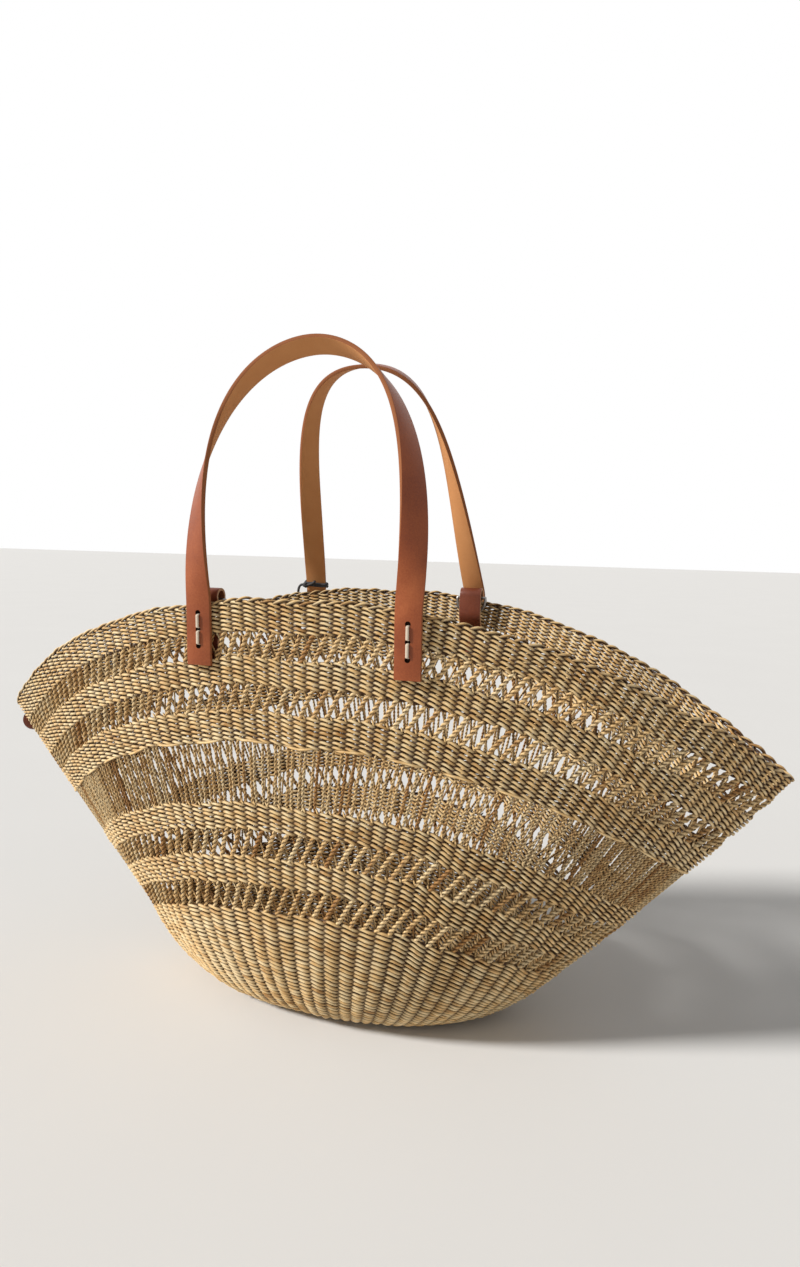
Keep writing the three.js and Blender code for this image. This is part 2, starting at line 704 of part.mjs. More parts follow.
// The disc lies on the rear face of the wall, at the edge of the left tip
function addDisc() {
  const tip = (3 * columns) / 4;
  const level = wallLevel(wallHeight - rimBandHeight);
  const above = wallLevel(wallHeight);
  const points = hoop(level, 0);
  const towardTip = points[tip].clone().sub(points[tip - 1]);
  const up = onHoop(hoop(above, 0), tip - 0.5).sub(onHoop(points, tip - 0.5));
  const out = new THREE.Vector3().crossVectors(towardTip, up).normalize();
  const along = towardTip.clone().normalize();
  const rise = new THREE.Vector3().crossVectors(out, along);
  const basis = new THREE.Matrix4().makeBasis(along, out, rise.negate());
  const centre = points[tip].clone().addScaledVector(along, -discInset)
    .addScaledVector(out, seatGap + discThickness);
  const frame = new THREE.Group();
  frame.applyMatrix4(basis.setPosition(centre));
  bag.add(frame);
  const plate = cylinderAlongY(discRadius, discThickness, 28).translate(0, -discThickness / 2, 0);
  let solid = toSolid(plate);
  const heights = [-discHolePitch / 2, discHolePitch / 2];
  for (const z of heights) {
    const bore = cylinderAlongY(discHoleRadius, discThickness + 2 * overrun, 10);
    solid = solid.subtract(toSolid(bore.translate(0, -discThickness / 2, z)));
  }
  addPiece(frame, 'tip_disc', toGeometry(solid), brownLeather, 0.5);
  addPiece(frame, 'tip_disc_stitch', stitchGeometry(heights, discThickness), creamCord, 0.8);
}

addBase();
addWall();
addHandle('front', frontHandle);
addHandle('rear', rearHandle);
addLoop('front_left', -1, -1);
addLoop('rear_right', 1, 1);
addTie();
addDisc();

export default bag;
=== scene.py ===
import math
from dataclasses import dataclass

import bmesh
import bpy
import numpy as np
from mathutils import Matrix, Vector


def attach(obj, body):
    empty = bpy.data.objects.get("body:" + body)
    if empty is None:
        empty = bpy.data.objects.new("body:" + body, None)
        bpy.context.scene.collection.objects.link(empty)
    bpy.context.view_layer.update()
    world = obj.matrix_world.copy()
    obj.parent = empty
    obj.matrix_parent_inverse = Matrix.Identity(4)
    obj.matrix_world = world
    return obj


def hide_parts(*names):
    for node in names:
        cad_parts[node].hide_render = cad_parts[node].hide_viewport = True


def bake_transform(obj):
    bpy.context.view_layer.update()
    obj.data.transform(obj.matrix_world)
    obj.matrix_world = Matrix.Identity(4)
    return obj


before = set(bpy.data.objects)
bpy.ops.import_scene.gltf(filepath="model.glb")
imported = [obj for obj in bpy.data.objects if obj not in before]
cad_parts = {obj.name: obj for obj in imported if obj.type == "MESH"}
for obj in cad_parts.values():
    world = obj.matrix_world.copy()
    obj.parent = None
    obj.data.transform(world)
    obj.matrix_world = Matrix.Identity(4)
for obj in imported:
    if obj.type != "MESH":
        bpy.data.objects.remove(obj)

bl_info = {
    "name": "Straw Market Bag",
    "version": (1, 0, 0),
    "blender": (4, 5, 0),
    "location": "View3D > Sidebar > Straw Bag",
    "description": "Builds a woven straw bag with leather strap handles around its packed solids",
    "category": "Add Mesh",
}

MM = 0.001
# Curved lines are sampled this finely before they are divided into equal lengths
FINE_STEPS = 361
# Faces of leather that meet at more than this angle keep a sharp edge
SHARP_ANGLE = math.radians(35)


# Settings

def length(name, description, millimetres):
    """A length property, given in millimetres and kept in metres"""
    return bpy.props.FloatProperty(
        name=name, description=description, default=millimetres * MM, unit="LENGTH", precision=5
    )


def angle(name, description, degrees):
    """An angle property, given in degrees and kept in radians"""
    return bpy.props.FloatProperty(
        name=name, description=description, default=math.radians(degrees), subtype="ANGLE"
    )


def share(name, description, default):
    """A plain number that is a share of something else"""
    return bpy.props.FloatProperty(name=name, description=description, default=default)


class BagSettings(bpy.types.PropertyGroup):
    """Driving dimensions of the straw bag"""

    foot_half_length: length("Foot half length", "Flat foot, middle to end", 104)
    foot_half_width: length("Foot half width", "Flat foot, middle to side", 45)
    shoulder_half_length: length("Shoulder half length", "Top of the base, middle to end", 182.4)
    shoulder_half_width: length("Shoulder half width", "Top of the base, middle to side", 98.7)
    shoulder_end_height: length("Shoulder end height", "Top of the base above the floor at an end", 46.6)
    shoulder_side_height: length("Shoulder side height", "Top of the base above the floor at a side", 101.5)
    end_flare: angle("End flare", "Lean of the two end edges", 42.5)
    side_flare: angle("Side flare", "Lean of the front and back", 2.5)
    end_bulge: length("End bulge", "How far the end edges bow out", 3.5)
    weave_thickness: length("Weave thickness", "Outer face to inner face of the weave", 5)
    fold_thickness: length("Fold thickness", "Weave along the fold at each tip", 9.5)
    rim_band: length("Rim band", "Height of the band at the mouth", 23.8)
    openwork_one: length("Openwork one", "Height of the first openwork", 18.2)
    second_band: length("Second band", "Height of the second close band", 20)
    openwork_two: length("Openwork two", "Height of the second openwork", 19)
    middle_band: length("Middle band", "Height of the middle close band", 23.4)
    openwork_three: length("Openwork three", "Height of the tall openwork", 46)
    fourth_band: length("Fourth band", "Height of the fourth close band", 20.4)
    openwork_four: length("Openwork four", "Height of the fourth openwork", 20)
    lowest_band: length("Lowest band", "Height of the lowest close band", 21.6)
    openwork_five: length("Openwork five", "Height of the openwork above the base", 19.6)
    row_pitch: length("Row pitch", "Height of one row of the close weave", 3.4)
    rim_row_pitch: length("Rim row pitch", "Height of one row at the mouth", 2.95)
    base_row_pitch: length("Base row pitch", "Height of one row of the base", 3.7)
    stake_pitch: length("Stake pitch", "Stake to stake in the wall", 9.9)
    base_stake_pitch: length("Base stake pitch", "Stake to stake at the top of the base", 12.9)
    pair_spread: length("Pair spread", "Strand to strand in a pair of the tall openwork", 3.9)
    straw_share: share("Straw share", "Radius of a strand as a share of the row pitch", 0.365)
    rope_straw: length("Rope straw radius", "Radius of each ply of the openwork's ropes", 1.12)
    upright_straw: length("Upright straw radius", "Radius of each ply of the tall openwork", 0.78)
    thin_straw: length("Thin straw radius", "Radius of each ply of the thin crossing strands", 0.75)
    unevenness_length: length("Unevenness length", "Height over which the handwork's unevenness drifts", 30)
    uneven_rise: length("Uneven rise", "Upward unevenness of the rows", 0.3)
    uneven_push: length("Uneven push", "Outward unevenness of the wall", 0.16)
    strap_width: length("Strap width", "Width of the leather strap", 19)
    strap_thickness: length("Strap thickness", "Thickness of the leather strap", 3.2)
    handle_half_span: length("Handle half span", "Middle of the bag to the middle of a foot", 78.5)
    front_height: length("Front handle height", "Hinge line to crown", 180.5)
    front_leg_reach: length("Front leg reach", "Upward pull of each leg", 157)
    front_leg_inset: length("Front leg inset", "Inward pull of each leg", -14)
    front_crown_reach: length("Front crown reach", "Level pull of the crown", 27.5)
    front_knee: angle("Front knee", "Bend over the rim", 0)
    front_curl: angle("Front curl", "Further bend over the mouth, up to the crown", 20)
    front_tilt: angle("Front crown tilt", "Roll of the strap past level at the crown", 7)
    rear_height: length("Rear handle height", "Hinge line to crown", 209)
    rear_leg_reach: length("Rear leg reach", "Upward pull of each leg", 124)
    rear_leg_inset: length("Rear leg inset", "Inward pull of each leg", 15)
    rear_crown_reach: length("Rear crown reach", "Level pull of the crown", 66)
    rear_knee: angle("Rear knee", "Bend over the rim", 29.5)
    rear_curl: angle("Rear curl", "Further bend over the mouth, up to the crown", 0)
    rear_tilt: angle("Rear crown tilt", "Roll of the strap past level at the crown", -12)
    knee_blend: length("Knee blend", "Length over which the strap rounds its bends", 6)
    foot_rise: length("Foot rise", "The feet start this far above the rim", 2)
    foot_length: length("Foot length", "Stitched length below the rim", 47)
    hole_inset: length("Hole inset", "Square end to the nearest hole", 14)
    hole_pitch: length("Hole pitch", "Hole to hole", 12)
    hole_radius: length("Hole radius", "Radius of the stitch holes", 2)
    loop_leather: length("Loop leather", "Thickness of the loops' leather", 2.2)
    loop_bore: length("Loop bore", "Inner radius of the rolled loop", 4.2)
    ring_wire: length("Ring wire", "Radius of the rings' wire", 1.4)
    tie_radius: length("Tie radius", "Radius of the black tie", 1.2)
    seat_gap: length("Seat gap", "Clearance of neighbouring pieces", 0.3)
    camera_azimuth: angle("Camera azimuth", "Turn of the camera round the bag", 16.866)
    camera_elevation: angle("Camera elevation", "Height angle of the camera", 5.695)
    camera_roll: angle("Camera roll", "Roll of the camera", 1.649)
    camera_distance: length("Camera distance", "Camera to the point that it looks at", 644.12)
    camera_across: length("Camera target across", "Point looked at, along the bag", 40.263)
    camera_height: length("Camera target height", "Point looked at, above the floor", 303.125)
    lens: share("Lens", "Focal length in millimetres of a sensor 36 mm wide", 35.987)


def settings():
    return bpy.context.scene.straw_bag


# Curves and directions

def mix(part, first, second):
    return first + (second - first) * part


def ease(part):
    """A share that starts and stops gently"""
    return part * part * (3 - 2 * part)


def squared(value, power):
    """A sine or cosine pushed towards 1 and -1, which squares a circle"""
    return math.copysign(abs(value) ** power, value)


def unit(vectors):
    size = np.linalg.norm(vectors, axis=-1, keepdims=True)
    return vectors / np.maximum(size, 1e-9)


def running_length(line):
    """Length along a line up to each of its points"""
    return np.concatenate(([0], np.cumsum(np.linalg.norm(np.diff(line, axis=0), axis=1))))


def sampled(line, run, places):
    """Points of a line at places along it, where run holds the places of its own points"""
    return np.stack([np.interp(places, run, coordinate) for coordinate in line.T], axis=-1)


def bezier(controls, steps):
    """Points of the curve that four control points draw"""
    t = np.linspace(0, 1, steps)[:, None]
    weights = ((1 - t) ** 3, 3 * (1 - t) ** 2 * t, 3 * (1 - t) * t ** 2, t ** 3)
    return sum(weight * np.array(control) for weight, control in zip(weights, controls))


# Shape of the woven body

@dataclass
class Level:
    """One hoop of the weave, by its places at a tip and at the middle of a side"""

    half_length: float
    end_height: float
    half_width: float
    side_height: float
    end_inset: float
    fullness: float
    roundness: float
    sweep: float


# Fullness, roundness and sweep of the hoops
RIM_SHAPE = (2.1, 0.77, 2.2)
SHOULDER_SHAPE = (2.5, 0.68, 2.5)
FOOT_SHAPE = (2.0, 0.5, 2.0)


class Body:
    """Surface of the woven body. Heights run along the wall from the top of the base."""

    BANDS = (
        "rim_band", "openwork_one", "second_band", "openwork_two", "middle_band",
        "openwork_three", "fourth_band", "openwork_four", "lowest_band", "openwork_five",
    )

    def __init__(self, sizes):
        self.sizes = sizes
        self.wall = sum(getattr(sizes, name) for name in self.BANDS)
        self.end_curve = self.base_curve(
            sizes.foot_half_length, sizes.shoulder_half_length, sizes.shoulder_end_height, sizes.end_flare
        )
        self.side_curve = self.base_curve(
            sizes.foot_half_width, sizes.shoulder_half_width, sizes.shoulder_side_height, sizes.side_flare
        )
        self.base = running_length(self.side_curve)[-1]

    @staticmethod
    def base_curve(foot_half, shoulder_half, height, flare):
        """Section of the base from the foot to the shoulder, in equal steps"""
        foot_pull, shoulder_pull = 0.3, 0.42
        foot = np.array((foot_half, 0.0))
        shoulder = np.array((shoulder_half, height))
        reach = np.linalg.norm(shoulder - foot)
        turn = foot + np.array((reach * foot_pull, 0.0))
        drop = shoulder - shoulder_pull * reach * np.array((math.sin(flare), math.cos(flare)))
        line = bezier((foot, turn, drop, shoulder), FINE_STEPS)
        run = running_length(line)
        return sampled(line, run, np.linspace(0, run[-1], FINE_STEPS))

    def band(self, name):
        """Lowest and highest height of a band of the wall"""
        upper = self.wall
        for other in self.BANDS:
            lower = upper - getattr(self.sizes, other)
            if other == name:
                return lower, upper
            upper = lower
        raise ValueError(f"there is no band named {name}")

    def level(self, height):
        """The hoop at a height along the wall, or in the base where the height is below 0"""
        sizes = self.sizes
        if height >= 0:
            part = height / self.wall
            bow = 4 * sizes.end_bulge * part * (1 - part)
            sine, cosine = math.sin(sizes.end_flare), math.cos(sizes.end_flare)
            return Level(
                sizes.shoulder_half_length + height * sine + bow * cosine,
                sizes.shoulder_end_height + height * cosine - bow * sine,
                sizes.shoulder_half_width + height * math.sin(sizes.side_flare),
                sizes.shoulder_side_height + height * math.cos(sizes.side_flare),
                mix(part, 1, sizes.fold_thickness / sizes.weave_thickness),
                *(mix(part, low, high) for low, high in zip(SHOULDER_SHAPE, RIM_SHAPE)),
            )
        part = max(1 + height / self.base, 0)
        end, side = (
            sampled(curve, np.arange(FINE_STEPS), part * (FINE_STEPS - 1))
            for curve in (self.end_curve, self.side_curve)
        )
        return Level(*end, *side, 1, *(mix(part, low, high) for low, high in zip(FOOT_SHAPE, SHOULDER_SHAPE)))

    def quarter(self, level, depth, lift):
        """First quarter of a hoop, from the middle of a side to the tip"""
        along = np.sin(np.linspace(0, math.pi / 2, FINE_STEPS))
        closing = np.clip(1 - along ** level.fullness, 0, 1) ** level.roundness
        rise = (level.side_height - level.end_height) * (1 - along ** level.sweep)
        x = (level.half_length - depth * level.end_inset) * along
        y = (level.half_width - depth) * closing
        return np.stack([x, y, level.end_height + rise + lift], axis=1)

    def girth(self, height):
        return 4 * running_length(self.quarter(self.level(height), 0, 0))[-1]

    def at(self, height, around, depth=0.0):
        """Points at shares of the way round: 0 is the front, 0.25 the right tip, 0.5 the back"""
        level = self.level(height)
        thin = max(-height / self.base, 0) * depth
        line = self.quarter(level, depth, thin)
        run = running_length(line)
        run /= run[-1]
        quarters = np.mod(around, 1.0) * 4
        side = np.minimum(np.floor(quarters), 3)
        part = quarters - side
        part = np.where(side % 2 == 1, 1 - part, part)
        left = np.where(side >= 2, -1.0, 1.0)
        back = np.where((side == 1) | (side == 2), 1.0, -1.0)
        x, y, z = sampled(line, run, part).T
        return np.stack([x * left, y * back, z], axis=1)

    def unevenness(self, height, around):
        """How far handwork moves the weave upward and outward, smoothly over its surface"""
        random = np.random.default_rng(3)
        calm_share = 0.4
        turn = 2 * math.pi * around
        rise, push = np.zeros_like(around), np.zeros_like(around)
        for waves in range(4, 24, 2):
            phases = random.uniform(0, 2 * math.pi, 2)
            drift = random.uniform(-1, 1, 2) * height / self.sizes.unevenness_length
            rise += np.sin(waves * turn + phases[0] + drift[0])
            push += np.sin(waves * turn + phases[1] + drift[1])
        calm = min(max((height + self.base) / (calm_share * self.base), 0), 1)
        return rise * self.sizes.uneven_rise * calm, push * self.sizes.uneven_push * calm

    def frame(self, height, around, depth):
        """Points with their outward and upward directions"""
        step_round, step_up = 0.004, 2 * MM
        points = self.at(height, around, depth)
        along = self.at(height, around + step_round, depth) - self.at(height, around - step_round, depth)
        below = max(height - step_up, -self.base)
        up = unit(self.at(height + step_up, around, depth) - self.at(below, around, depth))
        out = unit(np.cross(along, up))
        rise, push = self.unevenness(height, around)
        return points + up * rise[:, None] + out * push[:, None], out, up


# Meshes

def link(mesh, name, body="bag", nodes=(), finish=None):
    """A new piece from a mesh: it rides on a body, stands for the nodes named and wears a finish"""
    piece = bpy.data.objects.new(name, mesh)
    bpy.context.scene.collection.objects.link(piece)
    if body:
        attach(piece, body)
    if nodes:
        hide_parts(*nodes)
    if finish:
        dress(piece, finish)
    return piece


def mesh_of(piece):
    """The piece with its modifiers, as a mesh, and the piece itself deleted"""
    graph = bpy.context.evaluated_depsgraph_get()
    mesh = bpy.data.meshes.new_from_object(piece.evaluated_get(graph))
    bpy.data.objects.remove(piece)
    return mesh


@dataclass
class Strand:
    """A round strand. Where away is given, the side that faces that way keeps the straw's colour as far as
    openness allows, 1 fully and 0 not at all, and the other sides get painted shade, the dark
    colour of a groove. Tone makes the straw paler above 0 and darker below it."""

    points: np.ndarray
    radii: np.ndarray
    closed: bool = False
    away: np.ndarray = None
    # Share of the straw's colour kept against painted groove shade, at each point
    openness: np.ndarray = None
    tone: float = 0.0


def strands(name, lines, sides):
    """A mesh of round strands"""
    curve = bpy.data.curves.new(name, "CURVE")
    curve.dimensions = "3D"
    curve.bevel_depth = MM
    curve.bevel_resolution = sides // 2 - 2
    curve.use_fill_caps = True
    for line in lines:
        count = len(line.points)
        spline = curve.splines.new("POLY")
        spline.points.add(count - 1)
        spline.use_cyclic_u = line.closed
        spline.use_smooth = True
        places = np.ones((count, 4), np.float32)
        places[:, :3] = line.points
        spline.points.foreach_set("co", places.ravel())
        spline.points.foreach_set("radius", np.broadcast_to(line.radii / MM, count).astype(np.float32))
    piece = bpy.data.objects.new(name, curve)
    bpy.context.scene.collection.objects.link(piece)
    mesh = mesh_of(piece)
    bpy.data.curves.remove(curve)
    mesh.name = name
    if lines[0].away is not None:
        mark_strands(mesh, lines, sides)
    if not lines[0].closed:
        shape = bmesh.new()
        shape.from_mesh(mesh)
        bmesh.ops.remove_doubles(shape, verts=shape.verts, dist=0.001 * MM)
        shape.to_mesh(mesh)
        shape.free()
    return mesh
def strand_piece(name, lines, node, finish, body="bag", sides=6):
    """A piece made of round strands, which stands for a node"""
    return link(strands(name, lines, sides), name, body, [node], finish)


def mark_strands(mesh, lines, sides):
    """Stores for each point of a mesh of strands its tone and its openness, the share of colour kept
    against painted shade, 0 on the side that faces away from a strand's open side. The points of the
    tubes come last in the mesh, one ring after the other."""
    centres = np.repeat(np.concatenate([line.points for line in lines]), sides, axis=0)
    away = np.repeat(np.concatenate([line.away for line in lines]), sides, axis=0)
    level = np.repeat(np.concatenate([line.openness for line in lines]), sides)
    tones = [np.broadcast_to(line.tone, len(line.points)) for line in lines]
    places = np.empty(len(mesh.vertices) * 3, np.float32)
    mesh.vertices.foreach_get("co", places)
    offset = unit(places.reshape(-1, 3)[-len(centres):] - centres)
    shares = {
        # Painted shade: points turned away from a strand's open side get 0, the dark groove colour
        "openness": np.clip(np.sum(offset * away, axis=1), 0, 1) * level,
        "tone": np.repeat(np.concatenate(tones), sides),
    }
    for name, share_each in shares.items():
        values = np.zeros(len(mesh.vertices), np.float32)
        values[-len(centres):] = share_each
        mesh.attributes.new(name, "FLOAT", "POINT").data.foreach_set("value", values)


def from_bmesh(shape, name):
    """A smooth mesh from a bmesh, with its faces outward"""
    bmesh.ops.recalc_face_normals(shape, faces=shape.faces)
    mesh = bpy.data.meshes.new(name)
    shape.to_mesh(mesh)
    shape.free()
    mesh.polygons.foreach_set("use_smooth", [True] * len(mesh.polygons))
    return mesh


def bar(width, thickness, rounding, cuts):
    """A bar along Z from 0 to 1 with rounded long edges, cut across for bending. Its material
    is 0 on the face towards +Y, 1 on the face towards -Y and 2 on its edges and ends."""
    shape = bmesh.new()
    bmesh.ops.create_cube(shape, size=1)
    bmesh.ops.scale(shape, vec=(width, thickness, 1), verts=shape.verts)
    bmesh.ops.translate(shape, vec=(0, 0, 0.5), verts=shape.verts)
    bmesh.ops.bevel(
        shape, geom=long_edges(shape), offset=rounding, offset_type="OFFSET", segments=2,
        profile=0.5, affect="EDGES", material=-1,
    )
    for face in shape.faces:
        normal = face.normal
        flat = abs(normal.y) > 0.9
        face.material_index = (0 if normal.y > 0 else 1) if flat else 2
    bmesh.ops.subdivide_edges(shape, edges=long_edges(shape), cuts=cuts, use_grid_fill=True)
    return shape


def long_edges(shape):
    """The edges that run the whole length of a bar"""
    return [edge for edge in shape.edges if abs(edge.verts[0].co.z - edge.verts[1].co.z) > 0.5]


def bend(shape, place):
    """Moves each point of a bar: place gives the centre and the two side directions at a share"""
    cache = {}
    for vertex in shape.verts:
        key = round(vertex.co.z, 6)
        if key not in cache:
            cache[key] = place(key)
        centre, across, out = cache[key]
        vertex.co = centre + across * vertex.co.x + out * vertex.co.y


def drill(mesh, name, bottoms, direction, radius, height):
    """Cuts round holes that rise from their bottoms in a direction, with the mesh's last material"""
    cutter = bmesh.new()
    turn = Vector((0, 0, 1)).rotation_difference(direction).to_matrix().to_4x4()
    for bottom in bottoms:
        bmesh.ops.create_cone(
            cutter, cap_ends=True, segments=20, radius1=radius, radius2=radius, depth=height,
            matrix=Matrix.Translation(bottom + direction * (height / 2)) @ turn,
        )
    for face in cutter.faces:
        face.material_index = len(mesh.materials) - 1
    tool = bpy.data.objects.new(name + "_tool", from_bmesh(cutter, name + "_tool"))
    piece = bpy.data.objects.new(name + "_blank", mesh)
    for thing in (tool, piece):
        bpy.context.scene.collection.objects.link(thing)
    cut = piece.modifiers.new("holes", "BOOLEAN")
    cut.operation = "DIFFERENCE"
    cut.object = tool
    cut.solver = "EXACT"
    result = mesh_of(piece)
    bpy.data.objects.remove(tool)
    result.name = name
    return result


# Shader maths

class Value:
    """A shader socket that takes part in sums and products"""

    def __init__(self, nodes, socket):
        self.nodes = nodes
        self.socket = socket

    def maths(self, operation, first, second, clamp=False):
        return self.nodes.value("Math", {"operation": operation, "use_clamp": clamp}, {0: first, 1: second})

    def __add__(self, other):
        return self.maths("ADD", self, other)

    def __radd__(self, other):
        return self.maths("ADD", other, self)

    def __sub__(self, other):
        return self.maths("SUBTRACT", self, other)

    def __rsub__(self, other):
        return self.maths("SUBTRACT", other, self)

    def __mul__(self, other):
        return self.maths("MULTIPLY", self, other)

    def __rmul__(self, other):
        return self.maths("MULTIPLY", other, self)

    def power(self, exponent):
        return self.maths("POWER", self, exponent)

    def clamped(self):
        return self.maths("ADD", self, 0.0, clamp=True)


class Nodes:
    """Adds nodes to the tree of a material or a world"""

    def __init__(self, tree):
        self.tree = tree

    def add(self, kind, settings, inputs):
        """A node of a type: its settings are made first, then its inputs are filled or linked"""
        node = self.tree.nodes.new("ShaderNode" + kind)
        for name, setting in settings.items():
            if name == "stops":
                self.set_stops(node.color_ramp.elements, setting)
            else:
                setattr(node, name, setting)
        for place, value in inputs.items():
            self.fill(node.inputs[place], value)
        return node

    def value(self, kind, settings, inputs, output=0):
        """One output of a new node"""
        return Value(self, self.add(kind, settings, inputs).outputs[output])

    def fill(self, socket, value):
        """Links a value to an input, or sets it there"""
        if isinstance(value, Value):
            self.tree.links.new(value.socket, socket)
        else:
            socket.default_value = value

    @staticmethod
    def set_stops(elements, stops):
        while len(elements) < len(stops):
            elements.new(0.5)
        for element, (place, colour) in zip(elements, stops):
            element.position = place
            element.color = (*colour, 1)


class Finish(Nodes):
    """A material in the making, with the textures that finishes here share"""

    def __init__(self, name):
        self.material = bpy.data.materials.new(name)
        self.material.use_nodes = True
        super().__init__(self.material.node_tree)
        self.shader = self.tree.nodes["Principled BSDF"]
        self.place = self.value("TexCoord", {}, {}, "Object")
        self.unwrapped = self.value("TexCoord", {}, {}, "UV")

    def stretched(self, scale):
        """Places on the unwrapped surface, stretched"""
        return self.value("Mapping", {}, {"Vector": self.unwrapped, "Scale": scale})

    def noise(self, scale, detail=2.0, source=None):
        inputs = {"Vector": source or self.place, "Scale": scale, "Detail": detail}
        return self.value("TexNoise", {}, inputs, "Fac")

    def attribute(self, name):
        return self.value("Attribute", {"attribute_name": name}, {}, "Fac")

    def cells(self, scale):
        return self.value("TexVoronoi", {}, {"Vector": self.place, "Scale": scale}, "Distance")

    def ramp(self, value, stops):
        return self.value("ValToRGB", {"stops": stops}, {"Fac": value}, "Color")

    def blend(self, factor, first, second):
        """From the first colour to the second"""
        colours = [value if isinstance(value, Value) else (*value, 1) for value in (first, second)]
        return self.value("Mix", {"data_type": "RGBA"}, {0: factor, 6: colours[0], 7: colours[1]}, 2)

    def bump(self, height, distance, strength):
        inputs = {"Distance": distance, "Strength": strength, "Height": height}
        self.set("Normal", self.value("Bump", {}, inputs))

    def set(self, name, value):
        self.fill(self.shader.inputs[name], value)


# Painted shade: the dark brown that stands in for the shade between strands and at crossings
PAINTED_GROOVE_SHADE = (0.055, 0.022, 0.006)


def straw_finish(name, pale, mid, dark, runs):
    """Dried straw: blotches from strand to strand, fibres along each strand, and painted shade, a dark brown,
    between strands and at their crossings
    """
    finish = Finish(name)
    fibres = finish.noise(1.0, 3.0, finish.stretched((runs, 9.0, 1.0)))
    strand = finish.noise(170.0, 1.0)
    patch = finish.noise(22.0)
    tone = (strand * 0.45 + patch * 0.35 + fibres * 0.4 - 0.1 + finish.attribute("tone")).clamped()
    colour = finish.ramp(tone, [(0.26, dark), (0.46, mid), (0.66, pale)])
    # Painted shade: the colour is blended towards the dark brown where openness is low
    painted_light_mix = finish.attribute("openness").power(0.85).clamped()
    finish.set("Base Color", finish.blend(painted_light_mix, PAINTED_GROOVE_SHADE, colour))
    finish.set("Roughness", (0.62 - 0.2 * fibres).clamped())
    finish.set("Specular IOR Level", 0.28)
    finish.bump(fibres, 0.35 * MM, 0.8)
    return finish.material


def leather_finish(name, light, mid, dark, roughness):
    """Vegetable-tanned leather: soft patches, fine pebbled grain and a slight polish"""
    finish = Finish(name)
    patch = finish.noise(28.0, 4.0)
    fine = finish.noise(900.0, 3.0)
    pebble = finish.cells(1100.0)
    tone = (patch * 0.7 + fine * 0.3).clamped()
    finish.set("Base Color", finish.ramp(tone, [(0.3, dark), (0.5, mid), (0.7, light)]))
    finish.set("Roughness", (roughness + 0.16 * (fine - 0.5)).clamped())
    finish.set("Specular IOR Level", 0.35)
    finish.bump(pebble * 0.6 + fine * 0.4, 0.12 * MM, 0.6)
    return finish.material


def flesh_finish(name, light, dark):
    """The suede side and the cut edges of the leather, and the painted shade in the stitch holes"""
    finish = Finish(name)
    nap = finish.noise(1400.0, 4.0)
    patch = finish.noise(60.0, 3.0)
    finish.set("Base Color", finish.blend((nap * 0.5 + patch * 0.5).clamped(), dark, light))
    finish.set("Roughness", 0.85)
    finish.set("Specular IOR Level", 0.2)
    finish.bump(nap, 0.2 * MM, 0.7)
    return finish.material


def cord_finish(name, light, dark, turns):
    """Twisted cord: the ply shows as slanted bands"""
    finish = Finish(name)
    bands = {"wave_type": "BANDS", "bands_direction": "DIAGONAL"}
    inputs = {"Vector": finish.stretched((turns, 1.0, 1.0)), "Scale": 1.0, "Distortion": 0.6}
    ply = finish.value("TexWave", bands, inputs, "Fac")
    fuzz = finish.noise(2500.0)
    finish.set("Base Color", finish.blend((ply * 0.7 + fuzz * 0.3).clamped(), dark, light))
    finish.set("Roughness", 0.7)
    finish.bump(ply, 0.3 * MM, 0.8)
    return finish.material


def metal_finish(name, light, dark):
    """Dark plated wire with fine wear"""
    finish = Finish(name)
    wear = finish.noise(300.0, 4.0)
    finish.set("Base Color", finish.blend(wear, dark, light))
    finish.set("Metallic", 1.0)
    finish.set("Roughness", (0.22 + 0.2 * wear).clamped())
    finish.bump(finish.noise(1500.0), 0.03 * MM, 0.4)
    return finish.material


# From light to dark
STRAW = ((0.97, 0.755, 0.43), (0.90, 0.60, 0.265), (0.47, 0.235, 0.07))
TAN = ((0.37, 0.100, 0.030), (0.275, 0.064, 0.017), (0.19, 0.038, 0.010))
BROWN = ((0.21, 0.055, 0.025), (0.15, 0.036, 0.016), (0.09, 0.02, 0.01))
FLESH = ((0.64, 0.31, 0.125), (0.47, 0.19, 0.065))
CUT_EDGE = ((0.36, 0.14, 0.055), (0.20, 0.06, 0.022))
PALE_EDGE = ((0.68, 0.44, 0.27), (0.44, 0.23, 0.12))
# Painted shade: near black for the walls and bottoms of the blind stitch holes
PAINTED_HOLE_SHADE = ((0.05, 0.018, 0.008), (0.02, 0.007, 0.003))
CREAM = ((0.86, 0.79, 0.68), (0.55, 0.45, 0.34))
STEEL = ((0.34, 0.32, 0.30), (0.12, 0.11, 0.10))

# Maker, colours and, where the maker asks for it, runs, roughness or turns
FINISHES = {
    "close_straw": (straw_finish, *STRAW, 160.0),
    "rope_straw": (straw_finish, *STRAW, 6.0),
    "grain_leather": (leather_finish, *TAN, 0.42),
    "flesh_leather": (flesh_finish, *FLESH),
    "edge_leather": (flesh_finish, *CUT_EDGE),
    "hole_leather": (flesh_finish, *PAINTED_HOLE_SHADE),
    "brown_leather": (leather_finish, *BROWN, 0.34),
    "pale_edge": (flesh_finish, *PALE_EDGE),
    "cream_cord": (cord_finish, *CREAM, 14.0),
    "ring_metal": (metal_finish, *STEEL),
}


def add_finishes(mesh, *names):
    """Gives a mesh more materials. A finish is made when it is first asked for, and black_cord, the tie's,
    is not made here: it must already be there."""
    for name in names:
        if name not in bpy.data.materials:
            maker, *values = FINISHES[name]
            maker(name, *values)
        mesh.materials.append(bpy.data.materials[name])


def dress(piece, name):
    """One finish all over"""
    piece.data.materials.clear()
    add_finishes(piece.data, name)


# Weave

# Points of a row's strand from stake to stake
ROW_STEPS = 6


